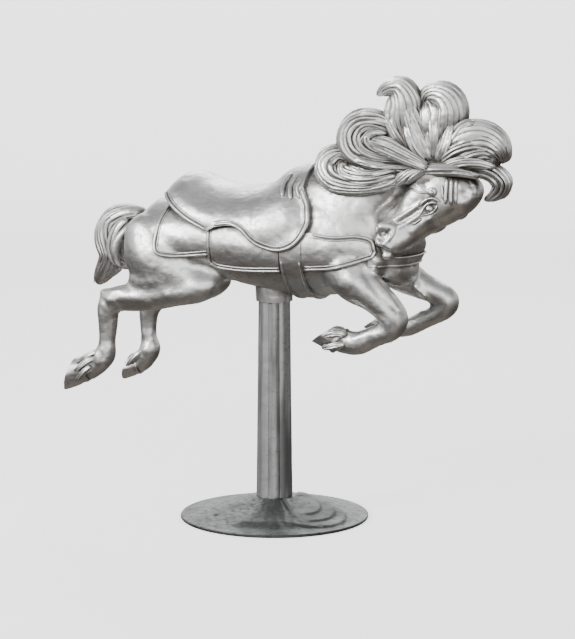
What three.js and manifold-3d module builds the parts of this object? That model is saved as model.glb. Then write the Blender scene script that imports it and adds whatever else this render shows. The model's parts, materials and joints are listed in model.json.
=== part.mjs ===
// Carousel horse: a cast-aluminium jumper on a fluted column and a round cast foot.
// Millimetres, +Z up. The horse faces +X, and its right side, the carved one, faces -Y.
// The origin is the centre of the foot's flat underside.
import * as THREE from 'three';
import { mergeVertices } from 'three/addons/utils/BufferGeometryUtils.js';
import Module from 'manifold-3d';

const wasm = await Module();
wasm.setup();

// Driving dimensions.
const FOOT_RADIUS = 260;
const FOOT_EDGE = 8;
const FOOT_HEIGHT = 60;
const CROWN_RADIUS = 58;
const DOME_SWELL = 1.25;
const DOME_STEPS = 3;
const DOME_TURNS = 32;
const LEDGE_REACH = 252;
const FOOT_LEDGES = [
  { bearing: -0.35, distance: 74, radius: 76, lift: 6 },
  { bearing: -0.2, distance: 104, radius: 94, lift: 4 },
  { bearing: -1.2, distance: 120, radius: 84, lift: 2.5 },
];
const CASTING_GAP = 0.3;
const COLUMN_TOP = 604;
const COLUMN_FOOT_RADIUS = 50;
const COLUMN_TOP_RADIUS = 43.5;
const COLUMN_LOBES = 8;
const LOBE_DEPTH = 5;
const BOSS_RADIUS = 50;
const BOSS_HEIGHT = 60;
const SADDLE_PROUD = 12;
const CLOTH_PROUD = 6;
const GIRTH_PROUD = 8;
const RIM_PROUD = 5;
const RIM_WIDTH = 9;
const HALF_CUT = 220;
const LEG_STANCE = 122;

// ---------------------------------------------------------------- solids

// A closed three.js geometry as a solid that can be joined and cut.
function solidOf(geometry) {
  const bare = geometry.index ? geometry : geometry.clone();
  bare.deleteAttribute('normal');
  bare.deleteAttribute('uv');
  const welded = mergeVertices(bare, 1e-3);
  return new wasm.Manifold(new wasm.Mesh({
    numProp: 3,
    vertProperties: new Float32Array(welded.attributes.position.array),
    triVerts: new Uint32Array(welded.index.array),
  }));
}

// Several forms as one solid. Pockets that they close in between them come out as shells of
// negative volume, and are left filled.
function joined(solids) {
  const whole = solids.reduce((sum, solid) => sum.add(solid));
  return whole.decompose().filter((shell) => shell.volume() > 0).reduce((sum, shell) => sum.add(shell));
}

// The solid's triangles as a three.js geometry.
function geometryOf(solid) {
  const mesh = solid.getMesh();
  const geometry = new THREE.BufferGeometry();
  geometry.setAttribute('position', new THREE.BufferAttribute(mesh.vertProperties, 3));
  geometry.setIndex(new THREE.BufferAttribute(mesh.triVerts, 1));
  geometry.computeVertexNormals();
  return geometry;
}

// How far a round-ended form has opened out at t, where each end closes over the share `cap`.
function roundEnds(t, cap) {
  const fromEnd = Math.min(t, 1 - t);
  if (fromEnd >= cap) return 1;
  const left = 1 - fromEnd / cap;
  return Math.sqrt(1 - left * left);
}

// A smooth line through the rows of a table, three numbers of each row at a time.
function smoothRows(rows) {
  return new THREE.CatmullRomCurve3(rows.map((row) => new THREE.Vector3(...row)), false, 'catmullrom', 0.5);
}

// A round body swept along a smooth spine. Each station is [x, y, z, across, deep]: the spine
// point, the half-width sideways, along Y, and the half-depth square to it. `strands` waves run
// along it, `ridge` high as a share of its size, and `grow` makes it fatter all round.
function limb(stations, { sides, rings, cap, strands = 0, ridge = 0, grow = 0 }) {
  const spine = smoothRows(stations.map((station) => station.slice(0, 3)));
  const sizes = smoothRows(stations.map(([, , , across, deep]) => [across + grow, deep + grow, 0]));
  const geometry = new THREE.SphereGeometry(1, sides, rings);
  const position = geometry.attributes.position;
  const uv = geometry.attributes.uv;
  const sideways = new THREE.Vector3();
  const outward = new THREE.Vector3();
  for (let i = 0; i < position.count; i++) {
    const t = THREE.MathUtils.clamp(1 - uv.getY(i), 0, 1);
    const angle = uv.getX(i) * Math.PI * 2;
    const point = spine.getPoint(t);
    const size = sizes.getPoint(t);
    const tangent = spine.getTangent(t);
    sideways.set(0, 1, 0).addScaledVector(tangent, -tangent.y).normalize();
    outward.crossVectors(tangent, sideways);
    const open = roundEnds(t, cap) * (1 + ridge * Math.cos(strands * angle));
    point.addScaledVector(sideways, -Math.cos(angle) * size.x * open);
    point.addScaledVector(outward, Math.sin(angle) * size.y * open);
    position.setXYZ(i, point.x, point.y, point.z);
  }
  return solidOf(geometry);
}

// A flat sheet cut to an outline drawn from the side and carried through the horse from y0 to y1.
function sideCut(outline, y0, y1) {
  const shape = new THREE.Shape(outline.map(([x, z]) => new THREE.Vector2(x, z)));
  const geometry = new THREE.ExtrudeGeometry(shape, { depth: y1 - y0, bevelEnabled: false, steps: 1 });
  geometry.rotateX(Math.PI / 2);
  geometry.translate(0, y1, 0);
  return solidOf(geometry);
}

// Points along a smooth line through a few corners.
function smooth(corners, count) {
  const line = new THREE.SplineCurve(corners.map(([x, z]) => new THREE.Vector2(x, z)));
  return line.getPoints(count).map((point) => [point.x, point.y]);
}

// ---------------------------------------------------------------- body

const BARREL = [
  [-438, 0, 782, 30, 26],
  [-405, 0, 774, 96, 76],
  [-340, 0, 768, 138, 106],
  [-250, 0, 772, 150, 112],
  [-140, 0, 772, 150, 113],
  [-30, 0, 765, 154, 124],
  [80, 0, 762, 158, 134],
  [180, 0, 766, 156, 134],
  [270, 0, 772, 146, 122],
  [345, 0, 770, 126, 98],
  [396, 0, 756, 104, 74],
  [430, 0, 738, 70, 50],
];

const BARREL_GRID = { sides: 16, rings: 12, cap: 0.06 };

const NECK = [
  [10, 0, 846, 96, 70],
  [100, -4, 862, 112, 106],
  [190, -8, 876, 108, 112],
  [280, -14, 892, 98, 104],
  [350, -20, 916, 84, 92],
  [410, -28, 948, 72, 80],
  [470, -30, 965, 64, 68],
  [530, -30, 962, 56, 54],
];

// The root of the neck, which fills it out to the shoulders.
const COLLAR = [
  [60, 0, 830, 122, 80],
  [160, 0, 838, 134, 92],
  [260, -6, 842, 128, 94],
  [340, -12, 838, 108, 84],
  [392, -18, 818, 84, 70],
];

const BREAST = [
  [320, 0, 706, 84, 46],
  [376, 0, 718, 82, 54],
  [424, 0, 728, 58, 44],
];

const HEAD = [
  [566, -28, 985, 44, 44],
  [548, -30, 944, 58, 72],
  [508, -36, 902, 63, 76],
  [468, -46, 870, 57, 66],
  [430, -56, 838, 48, 56],
  [398, -66, 810, 43, 50],
  [358, -78, 790, 44, 46],
  [332, -84, 768, 30, 32],
];

// The rump and thigh muscle of each hind leg, from the croup to the stifle.
const NEAR_THIGH = [
  [-362, -62, 838, 58, 44],
  [-356, -84, 774, 72, 90],
  [-308, -98, 714, 72, 98],
  [-232, -110, 668, 56, 70],
  [-186, -116, 648, 36, 40],
];

const FAR_THIGH = [
  [-362, 62, 838, 58, 44],
  [-362, 84, 774, 72, 90],
  [-330, 98, 704, 70, 94],
  [-282, 110, 640, 54, 64],
  [-250, 114, 606, 36, 40],
];

// The rest of each hind leg, from the stifle over the hock to the pastern.
const NEAR_HIND = [
  [-108, -104, 668, 34, 22],
  [-170, -112, 646, 46, 42],
  [-245, -118, 628, 46, 40],
  [-330, -121, 610, 38, 40],
  [-416, -122, 600, 33, 36],
  [-448, -122, 578, 30, 32],
  [-450, -122, 526, 23, 25],
  [-452, -122, 478, 22, 22],
  [-464, -122, 438, 28, 31],
  [-506, -122, 399, 26, 28],
  [-538, -122, 386, 20, 22],
];

const FAR_HIND = [
  [-190, 104, 650, 36, 26],
  [-250, 112, 622, 46, 40],
  [-330, 116, 594, 42, 36],
  [-412, 119, 574, 34, 32],
  [-448, 120, 540, 30, 30],
  [-454, 120, 496, 23, 25],
  [-452, 120, 452, 22, 23],
  [-448, 120, 420, 28, 29],
  [-478, 120, 382, 26, 27],
  [-504, 120, 370, 20, 22],
];

const NEAR_FORE = [
  [235, -86, 745, 62, 74],
  [285, -104, 690, 56, 62],
  [345, -116, 650, 42, 44],
  [402, -120, 602, 33, 37],
  [396, -120, 568, 30, 31],
  [350, -120, 546, 25, 29],
  [300, -120, 524, 28, 31],
  [258, -120, 527, 26, 32],
  [226, -120, 536, 20, 22],
];

const FAR_FORE = [
  [290, 76, 735, 58, 62],
  [340, 90, 686, 52, 50],
  [404, 104, 650, 40, 36],
  [462, 108, 622, 33, 32],
  [458, 108, 593, 30, 27],
  [408, 108, 566, 25, 25],
  [352, 108, 539, 28, 26],
  [304, 108, 537, 25, 29],
  [276, 108, 544, 20, 22],
];

// ---------------------------------------------------------------- hooves

const HOOF_HALF_WIDTH = 36;
const CORONET_SHARE = 0.84;

// One hoof, between the ring of the coronet and the sole. `coronet` is the ring's centre, `ring` half
// the way across it from back to front, `heel` and `toe` the two ends of the sole, all as [x, z] in
// the plane of the leg at y.
function hoof({ coronet, ring, heel, toe, y }) {
  const geometry = new THREE.CylinderGeometry(1, 1, 1, 14, 1);
  const position = geometry.attributes.position;
  const sole = [(heel[0] + toe[0]) / 2, (heel[1] + toe[1]) / 2];
  const half = [(toe[0] - heel[0]) / 2, (toe[1] - heel[1]) / 2];
  const rise = [coronet[0] - sole[0], coronet[1] - sole[1]];
  const turned = half[0] * rise[1] - half[1] * rise[0] > 0 ? -1 : 1;
  for (let i = 0; i < position.count; i++) {
    const up = position.getY(i) + 0.5;
    const forward = position.getX(i);
    const width = HOOF_HALF_WIDTH * THREE.MathUtils.lerp(1, CORONET_SHARE, up);
    const x = sole[0] + rise[0] * up + forward * THREE.MathUtils.lerp(half[0], ring[0], up);
    const z = sole[1] + rise[1] * up + forward * THREE.MathUtils.lerp(half[1], ring[1], up);
    position.setXYZ(i, x, y + position.getZ(i) * width * turned, z);
  }
  return solidOf(geometry);
}

const HOOVES = [
  { coronet: [-514, 395], ring: [6, -34], heel: [-556, 424], toe: [-586, 332], y: -LEG_STANCE },
  { coronet: [-482, 377], ring: [6, -32], heel: [-508, 404], toe: [-534, 326], y: LEG_STANCE },
  { coronet: [252, 527], ring: [-23, -37], heel: [236, 566], toe: [172, 522], y: -LEG_STANCE },
  { coronet: [300, 536], ring: [-22, -35], heel: [284, 570], toe: [222, 528], y: LEG_STANCE - 14 },
];

// ---------------------------------------------------------------- mane and tail

const MANE = [
  // The bed of hair that carries the locks along the top of the neck.
  {
    strands: 6,
    ridge: 0.06,
    at: [
      [226, -46, 985, 30, 36],
      [300, -42, 1022, 38, 62],
      [400, -38, 1044, 44, 78],
      [500, -34, 1046, 44, 72],
      [600, -30, 1030, 40, 54],
      [660, -26, 1004, 30, 34],
    ],
  },
  // The low scroll that lies on the side of the neck.
  {
    strands: 6,
    ridge: 0.12,
    at: [
      [420, -86, 968, 20, 14],
      [360, -98, 942, 24, 18],
      [290, -104, 936, 26, 24],
      [218, -98, 952, 32, 36],
      [198, -86, 994, 34, 42],
      [232, -78, 1018, 28, 32],
      [266, -80, 1000, 20, 20],
    ],
  },
  // The great back scroll.
  {
    strands: 7,
    ridge: 0.12,
    at: [
      [455, -70, 994, 22, 18],
      [360, -78, 998, 28, 26],
      [278, -76, 1014, 36, 38],
      [254, -68, 1064, 42, 38],
      [282, -60, 1104, 38, 38],
      [340, -56, 1104, 30, 32],
      [372, -56, 1082, 16, 16],
    ],
  },
  // The bright lock that sweeps back from the poll over it.
  {
    strands: 6,
    ridge: 0.12,
    at: [
      [484, -88, 990, 20, 14],
      [425, -98, 1018, 26, 22],
      [368, -96, 1044, 28, 26],
      [322, -88, 1058, 18, 16],
    ],
  },
  // The tall breaking wave.
  {
    strands: 6,
    ridge: 0.12,
    at: [
      [410, -42, 1030, 40, 40],
      [398, -42, 1100, 44, 50],
      [402, -42, 1158, 42, 46],
      [388, -42, 1192, 34, 36],
      [350, -42, 1194, 24, 24],
      [316, -42, 1174, 10, 8],
    ],
  },
  // The middle plume.
  {
    strands: 7,
    ridge: 0.12,
    at: [
      [480, -34, 1030, 42, 44],
      [500, -34, 1096, 46, 60],
      [515, -32, 1142, 44, 58],
      [498, -32, 1176, 38, 42],
      [460, -32, 1178, 30, 28],
      [446, -32, 1146, 24, 20],
    ],
  },
  // The strands that fill the fan between the wave and the plume.
  {
    strands: 6,
    ridge: 0.12,
    at: [
      [446, -44, 1020, 40, 40],
      [448, -40, 1080, 40, 40],
      [446, -34, 1130, 34, 30],
      [444, -32, 1160, 20, 14],
    ],
  },
  // The fan that falls forward over the forehead.
  {
    strands: 7,
    ridge: 0.12,
    at: [
      [490, -36, 1020, 40, 42],
      [560, -34, 1058, 46, 56],
      [622, -30, 1064, 46, 50],
      [658, -26, 1038, 38, 34],
      [664, -24, 1004, 18, 18],
    ],
  },
  // The forelock.
  {
    strands: 6,
    ridge: 0.12,
    at: [
      [520, -40, 992, 34, 20],
      [585, -34, 990, 38, 22],
      [640, -28, 980, 38, 26],
      [664, -24, 950, 32, 28],
      [642, -22, 922, 20, 18],
      [612, -20, 906, 6, 6],
    ],
  },
];

const TAIL = [
  {
    strands: 6,
    ridge: 0.12,
    at: [
      [-405, 0, 822, 26, 20],
      [-458, 0, 828, 34, 24],
      [-498, 0, 798, 40, 30],
      [-504, 0, 745, 42, 30],
      [-496, 0, 704, 40, 38],
      [-526, 0, 658, 30, 28],
      [-548, 0, 620, 16, 14],
    ],
  },
  {
    strands: 5,
    ridge: 0.12,
    at: [
      [-440, 0, 806, 22, 16],
      [-476, -6, 770, 26, 20],
      [-484, -10, 716, 28, 26],
      [-458, -10, 686, 22, 20],
      [-424, -10, 676, 8, 6],
    ],
  },
];

// ---------------------------------------------------------------- saddle and cloths

const SEAT = [
  [-316, 0, 862, 50, 40],
  [-294, 0, 850, 110, 90],
  [-252, 0, 838, 138, 119],
  [-205, 0, 826, 150, 114],
  [-140, 0, 808, 160, 116],
  [-60, 0, 796, 168, 126],
  [20, 0, 794, 170, 140],
  [84, 0, 800, 168, 164],
  [130, 0, 806, 158, 160],
  [170, 0, 812, 120, 130],
];

// The edges of the saddle and of the cloths under it, as smooth lines of [x, z] seen from the side.
const SKIRT_EDGE = [
  ...smooth([[-296, 902], [-250, 866], [-190, 830], [-128, 804]], 4),
  ...smooth([[-104, 818], [-62, 824], [-24, 812], [20, 776], [87, 761], [140, 782], [166, 830],
    [162, 880], [136, 930]], 16),
];

const REAR_EDGE = [
  [-302, 850],
  [-298, 742],
  ...smooth([[-280, 728], [-200, 730], [-126, 738]], 2),
];

const MIDDLE_EDGE = [
  [-128, 800],
  ...smooth([[-126, 716], [-100, 702], [-20, 698], [88, 704]], 5),
];

const FRONT_EDGE = [
  ...smooth([[152, 711], [236, 718], [304, 738], [345, 752]], 4),
  ...smooth([[352, 768], [340, 800], [300, 812], [240, 808], [180, 814]], 6),
];

// What an edge encloses, with the rest of its outline hidden under the saddle.
const SADDLE_OUTLINE = [...SKIRT_EDGE, [136, 1060], [-296, 1060]];
const REAR_OUTLINE = [...REAR_EDGE, [-126, 850]];
const MIDDLE_OUTLINE = [...MIDDLE_EDGE, [88, 800]];
const FRONT_OUTLINE = [[152, 814], ...FRONT_EDGE];
const GIRTH_OUTLINE = [[90, 800], [90, 560], [152, 560], [152, 800]];

// An outline drawn in by `inset` all round.
function drawnIn(outline, inset) {
  const turn = THREE.ShapeUtils.isClockWise(outline.map(([x, z]) => new THREE.Vector2(x, z))) ? -1 : 1;
  return outline.map(([x, z], i) => {
    const before = outline[(i + outline.length - 1) % outline.length];
    const after = outline[(i + 1) % outline.length];
    const along = new THREE.Vector2(after[0] - before[0], after[1] - before[1]).normalize();
    return [x - along.y * inset * turn, z + along.x * inset * turn];
  });
}

// A cloth that lies on the barrel and stands proud of it.
function draped(outline, proud) {
  const barrel = limb(BARREL, { ...BARREL_GRID, grow: proud });
  return barrel.intersect(sideCut(outline, -HALF_CUT, HALF_CUT));
}

// The saddle's seat and flaps, cut to the saddle's edge.
function saddleForm() {
  const seat = limb(SEAT, { sides: 18, rings: 12, cap: 0.1 });
  return seat.intersect(sideCut(SADDLE_OUTLINE, -HALF_CUT, HALF_CUT));
}

// The same cloth with a raised rim along its edge.
function rimmed(outline, proud) {
  const rim = draped(outline, proud + RIM_PROUD).subtract(
    sideCut(drawnIn(outline, RIM_WIDTH), -HALF_CUT, HALF_CUT));
  return draped(outline, proud).add(rim);
}

// ---------------------------------------------------------------- the three castings

function horse() {
  const body = [
    limb(BARREL, BARREL_GRID),
    limb(NECK, { sides: 12, rings: 8, cap: 0.1 }),
    limb(COLLAR, { sides: 12, rings: 6, cap: 0.2 }),
    limb(BREAST, { sides: 10, rings: 6, cap: 0.3 }),
    limb(HEAD, { sides: 14, rings: 14, cap: 0.12 }),
    limb(NEAR_THIGH, { sides: 14, rings: 10, cap: 0.16 }),
    limb(FAR_THIGH, { sides: 12, rings: 8, cap: 0.16 }),
  ];
  const legs = [NEAR_HIND, FAR_HIND, NEAR_FORE, FAR_FORE].map((leg) =>
    limb(leg, { sides: 10, rings: 2 * leg.length, cap: 0.06 }));
  const hooves = HOOVES.map(hoof);
  const hair = [...MANE, ...TAIL].map(({ at, strands, ridge }) =>
    limb(at, { sides: strands * 2, rings: 2 * at.length - 2, cap: 0.08, strands, ridge }));
  const tack = [
    saddleForm(),
    rimmed(SADDLE_OUTLINE, SADDLE_PROUD),
    draped(REAR_OUTLINE, CLOTH_PROUD),
    draped(MIDDLE_OUTLINE, CLOTH_PROUD),
    draped(FRONT_OUTLINE, CLOTH_PROUD),
    draped(GIRTH_OUTLINE, GIRTH_PROUD),
  ];
  const boss = new THREE.CylinderGeometry(BOSS_RADIUS, BOSS_RADIUS, BOSS_HEIGHT, 24, 1);
  boss.rotateX(Math.PI / 2);
  boss.translate(0, 0, COLUMN_TOP + CASTING_GAP + BOSS_HEIGHT / 2);
  return joined([...body, ...legs, ...hooves, ...hair, ...tack, solidOf(boss)]);
}

// The column: eight convex lobes, a little slimmer at the top.
function column() {
  const perLobe = 6;
  const count = COLUMN_LOBES * perLobe;
  const points = [];
  for (let i = 0; i < count; i++) {
    const angle = (i / count) * Math.PI * 2;
    const groove = Math.abs(Math.sin((angle * COLUMN_LOBES) / 2));
    const radius = COLUMN_FOOT_RADIUS - LOBE_DEPTH * (1 - groove);
    points.push(new THREE.Vector2(Math.cos(angle) * radius, Math.sin(angle) * radius));
  }
  const bottom = FOOT_HEIGHT + CASTING_GAP;
  const geometry = new THREE.ExtrudeGeometry(new THREE.Shape(points),
    { depth: COLUMN_TOP - bottom, bevelEnabled: false, steps: 1 });
  const position = geometry.attributes.position;
  for (let i = 0; i < position.count; i++) {
    const share = position.getZ(i) / (COLUMN_TOP - bottom);
    const narrow = THREE.MathUtils.lerp(1, COLUMN_TOP_RADIUS / COLUMN_FOOT_RADIUS, share);
    position.setXYZ(i, position.getX(i) * narrow, position.getY(i) * narrow, position.getZ(i) + bottom);
  }
  return solidOf(geometry);
}

// The dome's height at a distance from the column, `lift` higher than the plain dome.
function domeHeight(radius, lift) {
  const share = THREE.MathUtils.clamp((FOOT_RADIUS - radius) / (FOOT_RADIUS - CROWN_RADIUS), 0, 1);
  return FOOT_EDGE + (FOOT_HEIGHT - FOOT_EDGE) * Math.pow(share, DOME_SWELL) + lift;
}

function dome(reach, lift) {
  const profile = [new THREE.Vector2(0, 0), new THREE.Vector2(reach, 0)];
  for (let i = 0; i <= DOME_STEPS; i++) {
    const radius = THREE.MathUtils.lerp(reach, CROWN_RADIUS, i / DOME_STEPS);
    profile.push(new THREE.Vector2(radius, domeHeight(radius, lift)));
  }
  profile.push(new THREE.Vector2(0, FOOT_HEIGHT + lift));
  const geometry = new THREE.LatheGeometry(profile, DOME_TURNS);
  geometry.rotateX(Math.PI / 2);
  return solidOf(geometry);
}

// A round cutter that stands through the foot at a bearing and a distance from its centre.
function discCutter(bearing, distance, radius) {
  const geometry = new THREE.CylinderGeometry(radius, radius, 4 * FOOT_HEIGHT, 18, 1);
  geometry.rotateX(Math.PI / 2);
  geometry.translate(Math.cos(bearing) * distance, Math.sin(bearing) * distance, 0);
  return solidOf(geometry);
}

// The foot: a low dome with a thin edge and a flat crown for the column, and three crescent
// ledges that overlap on its front right.
function foot() {
  const ledges = FOOT_LEDGES.map(({ bearing, distance, radius, lift }) =>
    dome(LEDGE_REACH, lift).intersect(discCutter(bearing, distance, radius)));
  const crown = new THREE.CylinderGeometry(CROWN_RADIUS, CROWN_RADIUS, FOOT_HEIGHT, 24, 1);
  crown.rotateX(Math.PI / 2);
  crown.translate(0, 0, 1.5 * FOOT_HEIGHT);
  return joined([dome(FOOT_RADIUS, 0), ...ledges]).subtract(solidOf(crown));
}

// ---------------------------------------------------------------- the object

const polishedAluminium = new THREE.MeshStandardMaterial({ color: 0xb9babb, roughness: 0.3, metalness: 1 });
const greyAluminium = new THREE.MeshStandardMaterial({ color: 0x8d9293, roughness: 0.5, metalness: 1 });
const footAluminium = new THREE.MeshStandardMaterial({ color: 0x8f9492, roughness: 0.55, metalness: 1 });

function node(name, solid, material) {
  const mesh = new THREE.Mesh(geometryOf(solid), material);
  mesh.name = name;
  return mesh;
}

const carouselHorse = new THREE.Group();
carouselHorse.add(
  node('horse', horse(), polishedAluminium),
  node('column', column(), greyAluminium),
  node('foot', foot(), footAluminium),
);

export default carouselHorse;
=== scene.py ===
# %% [markdown]
# # A cast-aluminium carousel horse on its stand
# The object is three castings: the horse with its saddle, cloths, bridle, mane and tail in one
# piece, a fluted column, and a round domed foot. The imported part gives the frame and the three
# nodes. Here each node gets a finer casting on the same sizes, and the studio around it.

# %% Load the frame and keep the part's own box
import json
import math
import random

import bmesh
import bpy
import numpy as np
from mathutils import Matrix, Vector, noise
from mathutils.bvhtree import BVHTree

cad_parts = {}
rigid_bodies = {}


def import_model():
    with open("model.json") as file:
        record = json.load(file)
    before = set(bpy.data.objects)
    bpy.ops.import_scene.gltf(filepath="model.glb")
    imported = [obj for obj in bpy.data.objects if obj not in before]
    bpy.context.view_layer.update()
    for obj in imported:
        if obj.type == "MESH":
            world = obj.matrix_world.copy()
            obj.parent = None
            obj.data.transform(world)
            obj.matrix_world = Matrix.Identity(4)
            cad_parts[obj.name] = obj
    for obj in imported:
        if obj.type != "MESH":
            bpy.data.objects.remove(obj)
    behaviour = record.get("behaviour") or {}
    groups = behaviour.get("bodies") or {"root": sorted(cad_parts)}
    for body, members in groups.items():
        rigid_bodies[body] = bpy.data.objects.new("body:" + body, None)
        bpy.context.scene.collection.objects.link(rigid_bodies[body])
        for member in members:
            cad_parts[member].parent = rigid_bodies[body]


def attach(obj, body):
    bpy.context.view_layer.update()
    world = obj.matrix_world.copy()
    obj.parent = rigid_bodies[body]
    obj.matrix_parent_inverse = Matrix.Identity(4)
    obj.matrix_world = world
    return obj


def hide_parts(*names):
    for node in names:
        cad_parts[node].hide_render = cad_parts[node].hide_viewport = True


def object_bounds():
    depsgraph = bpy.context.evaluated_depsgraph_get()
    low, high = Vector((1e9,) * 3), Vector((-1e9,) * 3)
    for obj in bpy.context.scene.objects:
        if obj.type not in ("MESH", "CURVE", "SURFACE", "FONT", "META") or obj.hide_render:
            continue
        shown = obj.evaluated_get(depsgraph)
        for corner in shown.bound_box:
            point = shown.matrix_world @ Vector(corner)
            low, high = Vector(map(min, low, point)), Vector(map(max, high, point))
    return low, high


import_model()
part_low, part_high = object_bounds()
MM = 0.001
print("part box", [round(c, 3) for c in part_low], [round(c, 3) for c in part_high])

# %% [markdown]
# ## Heights and radii of the stand
# The horse's boss rests on the column and the column on the foot, so the sizes where they meet are
# kept in one place. The foot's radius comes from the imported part's width. Tables are in
# millimetres, as on a pattern maker's drawing, and `MM` turns them into metres.

# %% Sizes that the castings share
FOOT_RADIUS = round(part_high[1] / MM)
FOOT_EDGE, FOOT_HEIGHT, CROWN_RADIUS = 8, 60, 58
COLUMN_TOP, COLUMN_FOOT_RADIUS, COLUMN_TOP_RADIUS = 604, 50, 43.5
CASTING_GAP = 0.3
print("foot radius", FOOT_RADIUS, "mm, column", COLUMN_TOP - FOOT_HEIGHT, "mm tall")

# %% [markdown]
# ## Sweeping a round form along a smooth spine
# A carver thinks of a leg, a neck or a lock of hair as a round form that follows a line and swells
# and thins along it. A ball made by one operator is pulled onto such a line: its poles become the
# two ends, its rows the cross-sections. It stays one closed skin, whatever line it follows.

# %% Smooth lines through table rows, and the swept form


def along(rows, t):
    """Points at the shares `t` of a smooth line that passes through all rows."""
    rows = np.asarray(rows, float)
    held = np.vstack([2 * rows[0] - rows[1], rows, 2 * rows[-1] - rows[-2]])
    place = np.clip(t, 0, 1) * (len(rows) - 1)
    first = np.minimum(place.astype(int), len(rows) - 2)
    f = (place - first)[:, None]
    a, b, c, d = (held[first + k] for k in range(4))
    return 0.5 * (2 * b + (c - a) * f + (2 * a - 5 * b + 4 * c - d) * f**2 + (3 * b - a - 3 * c + d) * f**3)


def tangents(rows, t):
    """Unit directions of the same line."""
    step = 1e-3
    run = along(rows, np.clip(t + step, 0, 1)) - along(rows, np.clip(t - step, 0, 1))
    return run / np.maximum(np.linalg.norm(run, axis=1, keepdims=True), 1e-9)


def across_and_out(rows, t):
    """Unit directions across the same line and out of it, square to each other."""
    ahead = tangents(rows, t)
    sideways = np.array([0.0, 1.0, 0.0]) - ahead * ahead[:, 1:2]
    sideways /= np.linalg.norm(sideways, axis=1, keepdims=True)
    return sideways, np.cross(ahead, sideways)


def boxed(wave, power):
    """A cosine or sine pressed towards flat sides as `power` falls below 1."""
    return np.sign(wave) * np.abs(wave) ** power


def swept(stations, sides, rings, cap=0.1, grow=0.0, power=1.0):
    """A closed form in metres. Each station is [x, y, z, across, deep] in millimetres.

    Each end closes within the share `cap` of the length, `grow` is added to both half-widths, and
    a `power` below 1 flattens the sides.
    """
    stations = np.asarray(stations, float)
    bm = bmesh.new()
    bmesh.ops.create_uvsphere(bm, u_segments=sides, v_segments=rings, radius=1.0)
    ball = np.array([v.co for v in bm.verts])
    t = 1 - np.arccos(np.clip(ball[:, 2], -1, 1)) / math.pi
    angle = np.arctan2(ball[:, 1], ball[:, 0])
    spine = along(stations[:, :3], t)
    size = along(stations[:, 3:5], t) + grow
    sideways, outward = across_and_out(stations[:, :3], t)
    left = np.clip(1 - np.minimum(t, 1 - t) / cap, 0, 1)
    opened = np.sqrt(1 - left**2)
    place = spine - (boxed(np.cos(angle), power) * size[:, 0] * opened)[:, None] * sideways
    place = place + (boxed(np.sin(angle), power) * size[:, 1] * opened)[:, None] * outward
    for v, p in zip(bm.verts, place * MM):
        v.co = p
    if bm.calc_volume(signed=True) < 0:
        bmesh.ops.reverse_faces(bm, faces=bm.faces[:])
    return bm


# %% [markdown]
# ## Meshes, objects and Booleans
# The castings are put together from many closed shells. A bmesh is the quick way to shape one, and
# an object is needed only where a modifier works on it. These helpers turn one into the other and
# clear up behind themselves, so that no scaffolding is left in the scene.

# %% From a bmesh to an object, and one Boolean


def as_object(bm, name):
    """The bmesh as an object of that name, at the origin."""
    mesh = bpy.data.meshes.new(name)
    bm.to_mesh(mesh)
    bm.free()
    made = bpy.data.objects.new(name, mesh)
    bpy.context.scene.collection.objects.link(made)
    return made


def gathered(parts):
    """Several bmeshes in one, still as separate shells."""
    whole = bmesh.new()
    for part in parts:
        mesh = bpy.data.meshes.new("shell")
        part.to_mesh(mesh)
        part.free()
        whole.from_mesh(mesh)
        bpy.data.meshes.remove(mesh)
    return whole


def applied(made):
    """Leaves the object with the mesh that its modifiers give."""
    graph = bpy.context.evaluated_depsgraph_get()
    mesh = bpy.data.meshes.new_from_object(made.evaluated_get(graph))
    made.modifiers.clear()
    old, made.data = made.data, mesh
    bpy.data.meshes.remove(old)
    return made


def boolean(made, other, operation):
    """`made` after one Boolean with `other`, which is used up."""
    cut = made.modifiers.new("cut", "BOOLEAN")
    cut.object, cut.operation, cut.solver = other, operation, "MANIFOLD"
    applied(made)
    mesh = other.data
    bpy.data.objects.remove(other)
    bpy.data.meshes.remove(mesh)
    return made


# %% [markdown]
# ## Skin that flows from one form into the next
# On the real casting the limbs grow out of the barrel without a crease. The overlapping forms are
# wrapped in one even skin by a voxel remesh, and the skin is relaxed. Plain smoothing would thin
# the legs, so each pass that pulls in is followed by one that pushes out again.

# %% One skin over overlapping forms


def points_of(made):
    flat = np.empty(len(made.data.vertices) * 3)
    made.data.vertices.foreach_get("co", flat)
    return flat.reshape(-1, 3)


def normals_of(made):
    flat = np.empty(len(made.data.vertices) * 3, np.float32)
    made.data.vertex_normals.foreach_get("vector", flat)
    return flat.reshape(-1, 3).astype(float)


def put_points(made, points):
    made.data.vertices.foreach_set("co", points.ravel())
    made.data.update()


def edges_of(made):
    flat = np.empty(len(made.data.edges) * 2, np.int64)
    made.data.edges.foreach_get("vertices", flat)
    return flat.reshape(-1, 2)


def pulled(values, edges):
    """For each vertex, the mean of its neighbours less itself."""
    count = len(values)
    degree = np.bincount(edges.ravel(), minlength=count)[:, None]
    total = np.stack([
        np.bincount(edges[:, 0], values[edges[:, 1], k], count)
        + np.bincount(edges[:, 1], values[edges[:, 0], k], count) for k in range(values.shape[1])], 1)
    return total / np.maximum(degree, 1) - values


# the push is a little stronger than the pull, so that the form keeps its volume
PULL_IN, PUSH_OUT = 0.5, 0.53


def relaxed(made, passes):
    points, edges = points_of(made), edges_of(made)
    for _ in range(passes):
        points = points + PULL_IN * pulled(points, edges)
        points = points - PUSH_OUT * pulled(points, edges)
    put_points(made, points)
    return made


def skin(parts, name, voxel, passes):
    """One even skin round all the parts."""
    made = as_object(gathered(parts), name)
    remesh = made.modifiers.new("skin", "REMESH")
    remesh.mode, remesh.voxel_size, remesh.adaptivity = "VOXEL", voxel, 0.0
    relaxed(applied(made), passes)
    print(name, len(made.data.polygons), "faces")
    return made


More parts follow.
